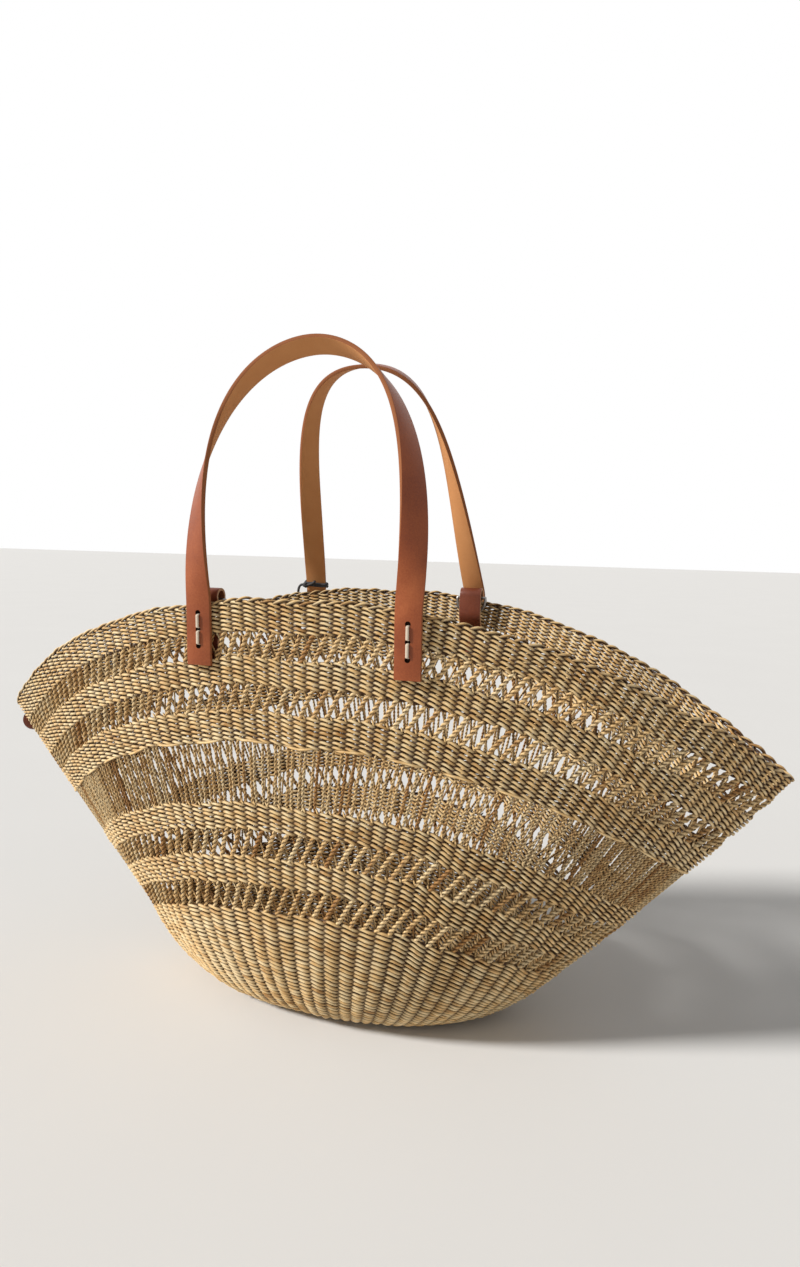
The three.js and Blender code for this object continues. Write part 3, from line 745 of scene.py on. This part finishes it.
def even_count(body, height, pitch):
    """Stakes in a band, as an even number"""
    return 2 * round(body.girth(height) / pitch / 2)


def per_stake(random, spread, around, stakes):
    """A random value for each stake, blended between the stakes"""
    values = random.normal(0, spread, stakes)
    return np.interp(around * stakes, np.arange(stakes + 1), np.append(values, values[0]))


def row_frame(body, height, stakes):
    """Shares of the way round, with their points and their outward and upward directions"""
    around = np.arange(stakes * ROW_STEPS) / (stakes * ROW_STEPS)
    return around, *body.frame(height, around, body.sizes.weave_thickness / 2)


def twined_row(body, height, stakes, random, radius):
    """Two strands that twist once round each other for every two stakes"""
    in_and_out, up_and_down, lift = radius, 0.85 * radius, 0.5 * radius
    flatness, least_thick, least_painted_light = 0.7, 0.9, 0.15
    around, points, out, up = row_frame(body, height, stakes)
    lines = []
    for ply in range(2):
        turn = math.pi * (around * stakes + ply)
        front = np.cos(turn)
        shown = np.abs(front)
        rise = per_stake(random, 0.16, around, stakes) * radius
        push = per_stake(random, 0.12, around, stakes) * radius * shown
        swell = per_stake(random, 0.06, around, stakes)
        dive = np.sign(front) * shown ** flatness
        place = points + out * (dive * (in_and_out + push))[:, None]
        place = place + up * (rise - np.sin(turn) * up_and_down + front * lift)[:, None]
        radii = radius * (mix(shown, least_thick, 1) + swell)
        # Painted shade where the strand dives behind a stake, at the crossing of the two plies
        openness = mix(shown ** flatness, least_painted_light, 1)
        tone = per_stake(random, 0.07, around, stakes) + random.normal(0.03, 0.03)
        lines.append(Strand(place, radii, True, out * np.sign(front)[:, None], openness, tone))
    return lines


def floating_row(body, height, stakes, random, radius):
    """One strand that runs over three stakes and under one"""
    bias, push, least_thick = 0.35, 1.7 * radius, 0.8
    around, points, out, up = row_frame(body, height, stakes)
    turn = 2 * math.pi * around * round(stakes / 4)
    front = np.clip(bias + np.cos(turn), bias - 1, 1)
    rise = per_stake(random, 0.3, around, stakes) * radius
    place = points + out * (front * push)[:, None] + up * rise[:, None]
    radii = radius * mix(np.abs(front), least_thick, 1)
    # Painted shade where the strand runs behind the stakes
    return Strand(place, radii, True, out, np.clip(0.4 + front, 0.2, 1))


def close_band(body, low, high, stakes, row_pitch, random):
    """Twined rows from low to high, each a little thicker or thinner than the next"""
    thinnest, thickest = 0.92, 1.06
    rows = max(round((high - low) / row_pitch), 1)
    pitch = (high - low) / rows
    lines = []
    for row in range(rows):
        radius = body.sizes.straw_share * pitch * random.uniform(thinnest, thickest)
        lines += twined_row(body, low + (row + 0.5) * pitch, stakes, random, radius)
    return lines


def rope(points, out, side, radius, lay, random):
    """Two plies twisted round a line, from ready directions across it. A few ropes are dark."""
    plies, dark_tone, dark_share, closeness = 2, 0.3, 0.07, 0.8
    run = running_length(points)
    start = random.uniform(0, 2 * math.pi)
    tone = random.normal(0, 0.08) - dark_tone * (random.uniform() < dark_share)
    lines = []
    for ply in range(plies):
        turn = start + 2 * math.pi * (run / lay + ply / plies)
        away = out * np.cos(turn)[:, None] + side * np.sin(turn)[:, None]
        radii = np.full(len(points), radius * random.uniform(0.88, 1.08))
        place = points + away * radius * closeness
        # Painted shade on the side of each ply that faces the rope's middle and the other ply
        lines.append(Strand(place, radii, False, away, np.ones(len(points)), tone))
    return lines


def slanted(body, low, high, stakes, start, shift, depth, steps):
    """Lines across a band, one for each stake: arrays of points and directions by step. Start
    and shift are counted in stakes."""
    first = (np.arange(stakes) + start) / stakes
    rows = [
        body.frame(height, first + shift * step / (steps - 1) / stakes, depth)
        for step, height in enumerate(np.linspace(low, high, steps))
    ]
    points, out = (np.stack([row[k] for row in rows], axis=1) for k in (0, 1))
    along = unit(np.gradient(points, axis=1))
    return points, out, unit(np.cross(along, out))


def swung(points, side, random, spread):
    """A line that bows a little to one side between its ends"""
    bow = np.sin(np.linspace(0, math.pi, len(points)))[:, None]
    return points + side * bow * random.normal(0, spread)


def openwork_span(body, low, high):
    """Where the strands of an openwork start and end, inside the bands, and how many stakes it has"""
    overlap = body.sizes.row_pitch / 2
    return low - overlap, high + overlap, even_count(body, (low + high) / 2, body.sizes.stake_pitch)


def crossed_openwork(body, low, high, random):
    """Thick two-ply strands slant one way in front of thin strands that slant the other way"""
    sizes = body.sizes
    span = openwork_span(body, low, high)
    middle = sizes.weave_thickness / 2
    # Start, shift, depth and steps of the lines, then bow, radius and lay of the ropes
    thick = (0.0, 1.05, middle - 0.4 * MM, 17), (0.35 * MM, sizes.rope_straw, 8 * MM)
    thin = (1.0, -0.8, middle + 1.0 * MM, 11), (0.5 * MM, sizes.thin_straw, 5 * MM)
    lines = []
    for course, (bow, radius, lay) in (thick, thin):
        for points, out, side in zip(*slanted(body, *span, *course)):
            lines += rope(swung(points, side, random, bow), out, side, radius, lay, random)
    return lines


def upright_openwork(body, low, high, random):
    """Tall two-ply strands, a pair for each stake and one more between the pairs near the tips"""
    sizes = body.sizes
    shift, steps, bow, lay = 0.28, 28, 0.5 * MM, 6.4 * MM
    span = openwork_span(body, low, high)
    stakes = span[2]
    offset = sizes.pair_spread / sizes.stake_pitch / 2
    between = 0.5
    tip_stakes = 0.075 * stakes
    lines = []
    for start in (-offset, offset, between):
        ropes = slanted(body, *span, start, shift, sizes.weave_thickness / 2, steps)
        for stake, (points, out, side) in enumerate(zip(*ropes)):
            from_tip = abs((stake + start) % (stakes / 2) - stakes / 4)
            if start < between or from_tip < tip_stakes:
                points = swung(points, side, random, bow)
                lines += rope(points, out, side, sizes.upright_straw, lay, random)
    return lines


def stubs(body, height, stakes, random):
    """Short ends of the stakes that stand up from a band into the openwork above it"""
    buried, tallest, forward = 1.6 * MM, 3.2 * MM, 0.6 * MM
    start, shift = 0.42, -0.25
    radii = np.array((0.9, 0.85, 0.7, 0.35)) * MM
    depth = body.sizes.weave_thickness / 2 - forward
    points, out, _ = slanted(body, height - buried, height + tallest, stakes, start, shift, depth, len(radii))
    lines = []
    for place, away in zip(points, out):
        place = place[0] + (place - place[0]) * random.uniform(0.5, 1.0)
        # Painted shade on the side of each end that faces into the bag
        lines.append(Strand(place, radii, False, away, np.ones(len(radii))))
    return lines


def rim_border(body, stakes, random):
    """Each stake turned down: it rises through the edge, leans over the next one and goes back in"""
    radius = 1.1 * MM
    sunk = 1.9 * MM
    part = np.linspace(0, 1, 9)
    arch, inward = np.sin(part * math.pi), np.cos(part * math.pi)
    lines = []
    for stake in range(stakes):
        reach = 1.45 + random.normal(0, 0.15)
        around = (stake + reach * part) / stakes
        points, out, up = body.frame(body.wall - sunk, around, body.sizes.weave_thickness / 2)
        tall = (1.9 + random.normal(0, 0.35)) * radius
        depth = (inward * 1.5 + random.normal(0, 0.1)) * radius
        place = points + out * depth[:, None] + up * (arch * tall - 0.5 * radius)[:, None]
        # Painted shade on the lower side of the strand, darker towards both ends where it goes into the weave
        away = unit(up * 0.8 + out * inward[:, None])
        radii = radius * (0.75 + 0.35 * arch) * (1 + random.normal(0, 0.06))
        lines.append(Strand(place, radii, False, away, mix(arch, 0.3, 1), random.normal(0, 0.08)))
    return lines


# Straps

def wall_face(body, height, x, depth=0.0):
    """Point of the wall's face at a distance along the bag, with y counted outward"""
    level = body.level(height)
    along = x / (level.half_length - depth * level.end_inset)
    y = (level.half_width - depth) * max(1 - along ** level.fullness, 0) ** level.roundness
    z = level.end_height + (level.side_height - level.end_height) * (1 - along ** level.sweep)
    return Vector((x, y, z))


class Strap:
    """One handle: its whole strap from the end of one foot over the crown to the other end"""

    def __init__(self, body, name):
        sizes = body.sizes
        self.sizes = sizes
        self.name = name
        self.outward = -1 if name == "front" else 1
        self.hinge, self.foot_lean = self.hinge_line(body)
        self.line = self.centre_line()
        self.run = running_length(self.line)
        self.reach = self.run[-1]
        self.foot = sizes.foot_rise + sizes.foot_length
        self.total = self.reach + 2 * self.foot

    def own(self, size):
        """A size of this handle"""
        return getattr(self.sizes, f"{self.name}_{size}")

    def hinge_line(self, body):
        """Outer top edge of the feet and the lean of the wall under them"""
        sizes = self.sizes
        near = sizes.handle_half_span - sizes.strap_width / 2
        top = wall_face(body, body.wall, near)
        bottom = wall_face(body, body.wall - sizes.foot_length, near)
        lean = math.atan2(top.y - bottom.y, top.z - bottom.z)
        clear = sizes.seat_gap / math.cos(lean) + sizes.strap_thickness
        depth = top.y + sizes.foot_rise * math.tan(lean) + clear
        return Vector((0, self.outward * depth, top.z + sizes.foot_rise)), lean

    def centre_line(self):
        """Points of the arch laid out flat, across and up from the hinge line"""
        span, height = self.sizes.handle_half_span, self.own("height")
        pulls = (
            (-span, 0), (-span + self.own("leg_inset"), self.own("leg_reach")),
            (-self.own("crown_reach"), height), (0, height),
        )
        left = bezier(pulls, 201)
        return np.concatenate([left, left[-2::-1] * (-1, 1)])

    def lean_frame(self, lean):
        """Directions along and out of the handle where it leans this far over the mouth"""
        up = Vector((0, -self.outward * math.sin(lean), math.cos(lean)))
        out = Vector((0, self.outward * math.cos(lean), math.sin(lean)))
        return up, out

    def arch_place(self, run):
        """Centre, across and grain-side directions at a length along the arch"""
        near = self.reach / 400
        (x, h), behind, ahead = (
            sampled(self.line, self.run, place)
            for place in (run, max(run - near, 0), min(run + near, self.reach))
        )
        tangent = Vector(ahead - behind).normalized()
        start = self.own("knee") - self.foot_lean
        half_curl = self.own("curl") * (h / self.own("height")) / 2
        up, out = self.lean_frame(start + 2 * half_curl)
        chord = h * math.sin(half_curl) / half_curl if half_curl else h
        centre = self.hinge - self.lean_frame(start)[1] * (self.sizes.strap_thickness / 2)
        centre = centre + self.lean_frame(start + half_curl)[0] * chord + Vector((x, 0, 0))
        arch_out = Vector((-tangent.y, 0, 0)) + up * tangent.x
        from_foot = 1 - abs(2 * run / self.reach - 1)
        turned = from_foot * (4 - from_foot ** 3) / 3
        turn = math.pi / 2 - turned * (math.pi / 2 + self.own("tilt"))
        grain = arch_out * math.cos(turn) + out * math.sin(turn)
        across = out * math.cos(turn) - arch_out * math.sin(turn)
        return centre, across, grain

    def foot_place(self, side, down):
        """The strap below the hinge line lies flat on the wall"""
        lean = -self.foot_lean
        up, out = self.lean_frame(lean)
        centre = self.hinge - up * down - out * (self.sizes.strap_thickness / 2)
        centre.x = side * self.sizes.handle_half_span
        return centre, Vector((-side, 0, 0)), out

    def sharp_place(self, run):
        """Centre and directions at a length from the hinge line, with sharp bends there"""
        if run < 0:
            return self.foot_place(-1, -run)
        if run > self.reach:
            return self.foot_place(1, run - self.reach)
        return self.arch_place(run)

    def place(self, part):
        """As the strap lies: its bend at the rim is rounded off"""
        steps = 3
        run = part * self.total - self.foot
        reach = min(self.sizes.knee_blend, part * self.total, (1 - part) * self.total)
        nearby = [self.sharp_place(run + reach * k / steps) for k in range(-steps, steps + 1)]
        centre, across, grain = (sum(parts, Vector()) / len(nearby) for parts in zip(*nearby))
        return centre, across.normalized(), grain.normalized()

    def holes(self):
        """Centres of the stitch holes in both feet, from the top down"""
        sizes = self.sizes
        downs = [self.foot - sizes.hole_inset - k * sizes.hole_pitch for k in (2, 1, 0)]
        return {
            label: [self.foot_place(side, down)[0] for down in downs]
            for label, side in (("left", -1), ("right", 1))
        }


def strap_mesh(strap, name):
    """The whole strap, bent as it lies, with blind holes for the stitches"""
    sizes = strap.sizes
    rounding, cuts, depth_share = 0.6 * MM, 260, 0.3
    shape = bar(sizes.strap_width, sizes.strap_thickness, rounding, cuts)
    bend(shape, strap.place)
    mesh = from_bmesh(shape, name)
    # The last finish, hole_leather, is painted shade for the walls and bottoms of the holes
    add_finishes(mesh, "grain_leather", "flesh_leather", "edge_leather", "hole_leather")
    out = strap.foot_place(1, 0)[2]
    sunk = out * (sizes.strap_thickness * depth_share)
    bottoms = [centre - sunk for row in strap.holes().values() for centre in row]
    mesh = drill(mesh, name, bottoms, out, sizes.hole_radius, 2 * sizes.strap_thickness)
    mesh.set_sharp_from_angle(angle=SHARP_ANGLE)
    return mesh


def stitch_mesh(holes, out, sizes, name):
    """A flat cord that goes down one hole and comes up the next, over the face between them"""
    wide, thick, rounding, cuts = 2.3 * MM, 1.5 * MM, 0.6 * MM, 26
    edge = 1.3 * MM
    steepness, flatness, lean = 2.6, 0.6, 1.4
    outer = sizes.strap_thickness / 2
    lowest, highest = -outer * 0.7, outer + thick * 0.6
    down = (holes[-1] - holes[0]).normalized()
    across = down.cross(out)
    shapes = []
    for top, bottom in zip(holes, holes[1:]):
        span = (bottom - top).length - 2 * edge

        def place(part, top=top, span=span):
            turn = part * math.pi
            along = edge + span / 2 * (1 - math.cos(turn))
            over = min(math.sin(turn) * steepness, 1) ** flatness
            slope = math.cos(turn) * (1 - over) * lean
            lift = (out * math.cos(slope) - down * math.sin(slope)).normalized()
            return top + down * along + out * mix(over, lowest, highest), across, lift

        shape = bar(wide, thick, rounding, cuts)
        bend(shape, place)
        shapes.append(from_bmesh(shape, name))
    return join(shapes, name)


def join(meshes, name):
    """One mesh from several"""
    whole = bmesh.new()
    for mesh in meshes:
        whole.from_mesh(mesh)
        bpy.data.meshes.remove(mesh)
    return from_bmesh(whole, name)


# Operators

class PieceOperator(bpy.types.Operator):
    """Shared parts of the operators that build the bag"""

    bl_options = {"REGISTER", "UNDO"}

    def execute(self, context):
        self.build(Body(settings()))
        return {"FINISHED"}


class BAG_OT_woven_base(PieceOperator):
    """Weaves the base: its bowl in two halves and the floor under it"""

    bl_idname = "straw_bag.woven_base"
    bl_label = "Woven Base"

    def build(self, body):
        random = np.random.default_rng(11)
        stakes = even_count(body, 0, body.sizes.base_stake_pitch)
        half = -body.base / 2
        for name, low, high in (("base_upper", half, 0), ("base_lower", -body.base, half)):
            lines = close_band(body, low, high, stakes, body.sizes.base_row_pitch, random)
            for line in lines:
                line.points[:, 2] = np.maximum(line.points[:, 2], line.radii)
            strand_piece(name, lines, "woven_base", "close_straw")
        strand_piece("base_floor", self.floor_rows(body.sizes, random), "woven_base", "close_straw")

    def floor_rows(self, sizes, random):
        """Flat rows from the foot's edge to a short seam in the middle"""
        end_share, fewer, fewest, stake_steps = 0.9, 0.7, 8, 5
        radius = sizes.straw_share * sizes.row_pitch
        swing, dive = 0.42 * radius, 0.6 * radius
        least_thick, least_painted_light = 0.6, 0.2
        lines = []
        for row in range(int(sizes.foot_half_width / sizes.row_pitch)):
            inset = row * sizes.row_pitch
            long = sizes.foot_half_length - inset * end_share
            wide = sizes.foot_half_width - inset
            girth = math.pi * (long + wide)
            stakes = max(2 * round(girth / sizes.base_stake_pitch * fewer), fewest)
            turn = np.linspace(0, 2 * math.pi, stakes * stake_steps, endpoint=False)
            for ply in range(2):
                twist = turn * stakes / 2 + ply * math.pi
                front, across = np.cos(twist), swing * np.sin(twist)
                x, y = (long + across) * np.cos(turn), (wide + across) * np.sin(turn)
                place = np.stack([x, y, sizes.weave_thickness / 2 - dive * front], axis=1)
                shown = np.abs(front)
                radii = radius * (mix(shown, least_thick, 1) + random.normal(0, 0.03, len(turn)))
                # Painted shade on the inner side of each ply and where it dives under the other ply
                away = np.outer(-np.sign(front), (0, 0, 1))
                lines.append(Strand(place, radii, True, away, mix(shown, least_painted_light, 1)))
        return lines


class BAG_OT_close_bands(PieceOperator):
    """Weaves the close bands of the wall and the border at the mouth"""

    bl_idname = "straw_bag.close_bands"
    bl_label = "Close Bands"

    def build(self, body):
        names = ("rim_band", "second_band", "middle_band", "fourth_band", "lowest_band")
        border_height = 2 * MM
        sizes = body.sizes
        for seed, name in enumerate(names, 20):
            random = np.random.default_rng(seed)
            low, high = body.band(name)
            stakes = even_count(body, (low + high) / 2, sizes.stake_pitch)
            border = name == "rim_band"
            top = high - border_height if border else high
            row_pitch = sizes.rim_row_pitch if border else sizes.row_pitch
            lines = close_band(body, low, top, stakes, row_pitch, random)
            if name == "middle_band":
                lines.append(floating_row(body, low + 0.4 * MM, stakes, random, 1.1 * MM))
            strand_piece(name + "_weave", lines, name, "close_straw")
            if border:
                strand_piece("rim_border", rim_border(body, stakes, random), name, "rope_straw")
            else:
                strand_piece(name + "_ends", stubs(body, high, stakes, random), name, "rope_straw")


class BAG_OT_openwork(PieceOperator):
    """Weaves the open bands of the wall"""

    bl_idname = "straw_bag.openwork"
    bl_label = "Openwork"

    def build(self, body):
        names = ("openwork_one", "openwork_two", "openwork_three", "openwork_four", "openwork_five")
        for seed, name in enumerate(names, 40):
            maker = upright_openwork if name == "openwork_three" else crossed_openwork
            lines = maker(body, *body.band(name), np.random.default_rng(seed))
            strand_piece(name + "_strands", lines, name, "rope_straw")


class BAG_OT_handles(PieceOperator):
    """Makes the two leather straps and their stitches"""

    bl_idname = "straw_bag.handles"
    bl_label = "Handles"

    def build(self, body):
        for name in ("front", "rear"):
            strap = Strap(body, name)
            mesh = strap_mesh(strap, name + "_strap")
            feet = [f"{name}_{side}_strap_foot" for side in ("left", "right")]
            piece = link(mesh, name + "_strap", body=None)
            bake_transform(piece)
            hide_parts(name + "_handle", *feet)
            out = strap.foot_place(1, 0)[2]
            for side, holes in strap.holes().items():
                label = f"{name}_{side}_stitches"
                mesh = stitch_mesh(holes, out, body.sizes, label + "_cord")
                link(mesh, label + "_cord", nodes=[label], finish="cream_cord")


class BAG_OT_loops(PieceOperator):
    """Makes the two folded leather loops inside the mouth and their rings"""

    bl_idname = "straw_bag.loops"
    bl_label = "Loops and Rings"

    # Height of the roll's middle above the wall's edge, and how far below that height the leather
    # ends, starts to bend off the wall and has bent
    RISE = 2 * MM
    LEG = 54 * MM
    BEND_LOW = 33 * MM
    BEND_HIGH = 17 * MM

    def build(self, body):
        for name, side, outward in (("front_left", -1, -1), ("rear_right", 1, 1)):
            place = self.frame(body, side, outward)
            loop = link(self.loop_mesh(body.sizes, place, name), name + "_fold",
                        nodes=[name + "_loop"])
            loop.data.set_sharp_from_angle(angle=SHARP_ANGLE)
            strand_piece(name + "_wire", [self.ring_wire(body.sizes, place)], name + "_ring",
                         "ring_metal", body="front_ring" if outward < 0 else "rear_ring", sides=12)

    def frame(self, body, side, outward):
        """Places a point of the loop's own section: across, into the bag and up from the rim"""
        sizes = body.sizes
        far = sizes.handle_half_span + sizes.strap_width / 2
        near = sizes.handle_half_span - sizes.strap_width / 2
        inner = wall_face(body, body.wall, far, sizes.weave_thickness)
        lower = wall_face(body, body.wall - self.LEG, far, sizes.weave_thickness)
        lean = math.atan2(inner.y - lower.y, inner.z - lower.z)
        top = wall_face(body, body.wall, near).z

        def place(across, inward, up):
            inward, up = (
                inward * math.cos(lean) - up * math.sin(lean),
                inward * math.sin(lean) + up * math.cos(lean),
            )
            return Vector((
                side * sizes.handle_half_span - outward * across,
                outward * (inner.y - inward),
                top + up,
            ))

        return place

    def strip_line(self, sizes):
        """Middle of the leather strip in section: up the front, round the roll, down the back"""
        leather = sizes.loop_leather
        roll = sizes.loop_bore + leather
        mid = sizes.loop_bore + leather / 2
        depth = sizes.seat_gap + roll
        front = depth + roll - leather / 2
        wall = sizes.seat_gap + 1.5 * leather
        leg = [(wall, self.RISE - down) for down in np.linspace(self.LEG, self.BEND_LOW, 6)]
        bend_out = [
            (mix(ease(part), wall, front), self.RISE - mix(part, self.BEND_LOW, self.BEND_HIGH))
            for part in np.linspace(0, 1, 9)
        ]
        line = leg + bend_out[1:]
        for turn in np.radians(np.linspace(0, 270, 28)):
            line.append((depth + mid * math.cos(turn), self.RISE + mid * math.sin(turn)))
        tuck = 1.6 * MM
        corner = front - leather - tuck
        for turn in np.radians(np.linspace(90, 0, 7)):
            line.append((corner + tuck * math.cos(turn), self.RISE - mid - tuck + tuck * math.sin(turn)))
        line += [(inward - leather, up) for inward, up in bend_out[::-1] + leg[-2::-1]]
        return np.array(line)

    def loop_mesh(self, sizes, place, name):
        near, rounding, cuts, thinner = 0.4 * MM, 0.4 * MM, 120, 0.96
        line = self.strip_line(sizes)
        run = running_length(line)
        shape = bar(sizes.strap_width, sizes.loop_leather * thinner, rounding, cuts)
        origin = place(0, 0, 0)

        def bent(part):
            middle = part * run[-1]
            here, behind, ahead = (
                sampled(line, run, at) for at in (middle, max(middle - near, 0), min(middle + near, run[-1]))
            )
            tangent = unit(ahead - behind)
            across = (place(1, 0, 0) - origin).normalized()
            out = (place(0, tangent[1], -tangent[0]) - origin).normalized()
            return place(0, here[0], here[1]), across, out

        bend(shape, bent)
        mesh = from_bmesh(shape, name + "_fold")
        add_finishes(mesh, "brown_leather", "edge_leather", "pale_edge")
        return mesh

    def ring_wire(self, sizes, place):
        """A bent wire: a straight bar in the roll and a bow below it"""
        squareness = 0.72
        half, deep = 12.6 * MM, 13.5 * MM
        roll = sizes.seat_gap + sizes.loop_bore + sizes.loop_leather
        top = self.RISE - (sizes.loop_bore - sizes.ring_wire - sizes.seat_gap)
        points = []
        for turn in np.linspace(0, math.pi, 41):
            across, down = squared(math.cos(turn), squareness), squared(math.sin(turn), squareness)
            points.append(place(-half * across, roll, top - deep * down))
        points += [place(half * part, roll, top) for part in np.linspace(1, -1, 12)[1:-1]]
        return Strand(np.array(points), np.full(len(points), sizes.ring_wire), True)


class BAG_OT_tie(PieceOperator):
    """Winds the thin black tie round the left foot of the rear handle"""

    bl_idname = "straw_bag.tie"
    bl_label = "Black Tie"

    def build(self, body):
        sizes = body.sizes
        strap = Strap(body, "rear")
        radius = sizes.tie_radius
        clear = sizes.strap_thickness / 2 + radius
        wide = sizes.strap_width / 2 + radius
        lowest, pitch, knot_height, knot_inset = 2.9 * MM, 2.2 * MM, 4.4 * MM, 1 * MM
        turns, steps, squareness = 2, 24, 0.3
        points = []
        for step in range(turns * steps + 1):
            turn = 2 * math.pi * step / steps
            run = lowest + pitch * step / steps
            centre, across, grain = strap.place((strap.foot + run) / strap.total)
            x = squared(math.cos(turn), squareness) * wide
            y = squared(math.sin(turn), squareness) * clear
            points.append(centre + across * x + grain * y)
        lines = [Strand(np.array(points), np.full(len(points), radius))]
        centre, across, grain = strap.place((strap.foot + knot_height) / strap.total)
        along = strap.lean_frame(sizes.rear_knee)[0]
        knot = centre - across * (wide - knot_inset) - grain * (clear + radius)
        lines += self.knot(knot, across, grain, along, radius)
        strand_piece("tie_wrap", lines, "tie_cord", "black_cord", body="rear_handle", sides=8)

    def knot(self, centre, across, grain, along, radius):
        """Small loops for the knot, and the two ends that come out of it"""
        lines = []
        steps, squash, behind = 16, 0.8, 0.5 * MM
        for tilt, size in ((0.3, 1.9), (1.5, 1.7), (-0.9, 1.8)):
            ring = []
            for step in range(steps):
                turn = 2 * math.pi * step / steps
                x = math.cos(turn) * size * MM
                y = math.sin(turn) * size * MM * squash
                ring.append(centre + across * (x * math.cos(tilt)) + along * (x * math.sin(tilt)) - grain * y)
            lines.append(Strand(np.array(ring), np.full(steps, radius), True))
        ends = (((0, 0), (-5, 2.4), (-7.5, -3), (-9, -8.5)), ((0, 0), (4, 1), (8, 2.6), (11, 6)))
        for route in ends:
            path = bezier(route, 13) * MM
            points = [centre + across * x + along * up - grain * behind for x, up in path]
            lines.append(Strand(np.array(points), np.full(len(points), radius)))
        return lines


class BAG_OT_disc(PieceOperator):
    """Dresses the leather disc at the left tip and its stitch, which come from model.glb"""

    bl_idname = "straw_bag.disc"
    bl_label = "Tip Disc"

    def build(self, body):
        dress(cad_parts["tip_disc"], "brown_leather")
        dress(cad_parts["tip_disc_stitch"], "cream_cord")


class BAG_OT_stage(PieceOperator):
    """Sets the floor, the light and the camera"""

    bl_idname = "straw_bag.stage"
    bl_label = "Stage"

    def build(self, body):
        self.floor()
        self.world()
        self.key()
        self.camera(body.sizes)

    def floor(self):
        shape = bmesh.new()
        bmesh.ops.create_grid(shape, x_segments=1, y_segments=1, size=40)
        floor = bpy.data.objects.new("floor", from_bmesh(shape, "floor"))
        bpy.context.scene.collection.objects.link(floor)
        finish = Finish("floor")
        finish.set("Base Color", finish.blend(finish.noise(3.0), (0.76, 0.755, 0.745), (0.79, 0.785, 0.775)))
        finish.set("Roughness", 0.9)
        floor.data.materials.append(finish.material)

    def world(self):
        """White wherever it is looked at, and a dim glow as a light"""
        world = bpy.data.worlds.new("studio")
        world.use_nodes = True
        world.node_tree.nodes.clear()
        nodes = Nodes(world.node_tree)
        path = nodes.add("LightPath", {}, {})
        camera, glossy, through = (
            Value(nodes, path.outputs[f"Is {ray} Ray"]) for ray in ("Camera", "Glossy", "Transmission")
        )
        seen = (camera + glossy + through).clamped()
        glow = nodes.value("Background", {}, {"Color": (1.0, 0.99, 0.97, 1), "Strength": 0.3})
        white = nodes.value("Background", {}, {"Color": (1, 1, 1, 1), "Strength": 1.0})
        both = nodes.value("MixShader", {}, {0: seen, 1: glow, 2: white})
        nodes.add("OutputWorld", {}, {0: both})
        bpy.context.scene.world = world

    def key(self):
        """One soft sun from the upper left, a little in front of the bag"""
        data = bpy.data.lights.new("key", "SUN")
        data.energy = 4.3
        data.angle = math.radians(9)
        data.color = (1.0, 0.98, 0.95)
        lamp = bpy.data.objects.new("key", data)
        lamp.rotation_euler = Vector((0.77, 0.41, -0.49)).to_track_quat("-Z", "Y").to_euler()
        bpy.context.scene.collection.objects.link(lamp)

    def camera(self, sizes):
        scene = bpy.context.scene
        data = bpy.data.cameras.new("photo_view")
        data.sensor_fit = "HORIZONTAL"
        data.sensor_width = 36
        data.lens = sizes.lens
        azimuth, elevation, roll = sizes.camera_azimuth, sizes.camera_elevation, sizes.camera_roll
        forward = Vector((
            -math.sin(azimuth) * math.cos(elevation),
            math.cos(azimuth) * math.cos(elevation),
            -math.sin(elevation),
        ))
        right = Vector((math.cos(azimuth), math.sin(azimuth), 0))
        up = right.cross(forward)
        right, up = right * math.cos(roll) + up * math.sin(roll), up * math.cos(roll) - right * math.sin(roll)
        target = Vector((sizes.camera_across, 0, sizes.camera_height))
        turn = Matrix((right, up, -forward)).transposed().to_4x4()
        camera = bpy.data.objects.new("photo_view", data)
        camera.matrix_world = Matrix.Translation(target - forward * sizes.camera_distance) @ turn
        scene.collection.objects.link(camera)
        scene.camera = camera
        scene.view_settings.view_transform = "Standard"


OPERATORS = (
    BAG_OT_woven_base, BAG_OT_close_bands, BAG_OT_openwork, BAG_OT_handles,
    BAG_OT_loops, BAG_OT_tie, BAG_OT_disc, BAG_OT_stage,
)


class BAG_PT_panel(bpy.types.Panel):
    """The bag's steps, in the order that they run"""

    bl_idname = "BAG_PT_panel"
    bl_label = "Straw Bag"
    bl_space_type = "VIEW_3D"
    bl_region_type = "UI"
    bl_category = "Straw Bag"

    def draw(self, context):
        for operator in OPERATORS:
            self.layout.operator(operator.bl_idname)
        for name in BagSettings.__annotations__:
            self.layout.prop(context.scene.straw_bag, name)


def register():
    bpy.utils.register_class(BagSettings)
    bpy.types.Scene.straw_bag = bpy.props.PointerProperty(type=BagSettings)
    for operator in OPERATORS:
        bpy.utils.register_class(operator)
    bpy.utils.register_class(BAG_PT_panel)


def unregister():
    bpy.utils.unregister_class(BAG_PT_panel)
    for operator in reversed(OPERATORS):
        bpy.utils.unregister_class(operator)
    del bpy.types.Scene.straw_bag
    bpy.utils.unregister_class(BagSettings)


def main():
    register()
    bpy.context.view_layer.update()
    bpy.ops.straw_bag.woven_base()
    bpy.ops.straw_bag.close_bands()
    bpy.ops.straw_bag.openwork()
    bpy.ops.straw_bag.handles()
    bpy.ops.straw_bag.loops()
    bpy.ops.straw_bag.tie()
    bpy.ops.straw_bag.disc()
    bpy.ops.straw_bag.stage()


if __name__ == "__main__":
    main()
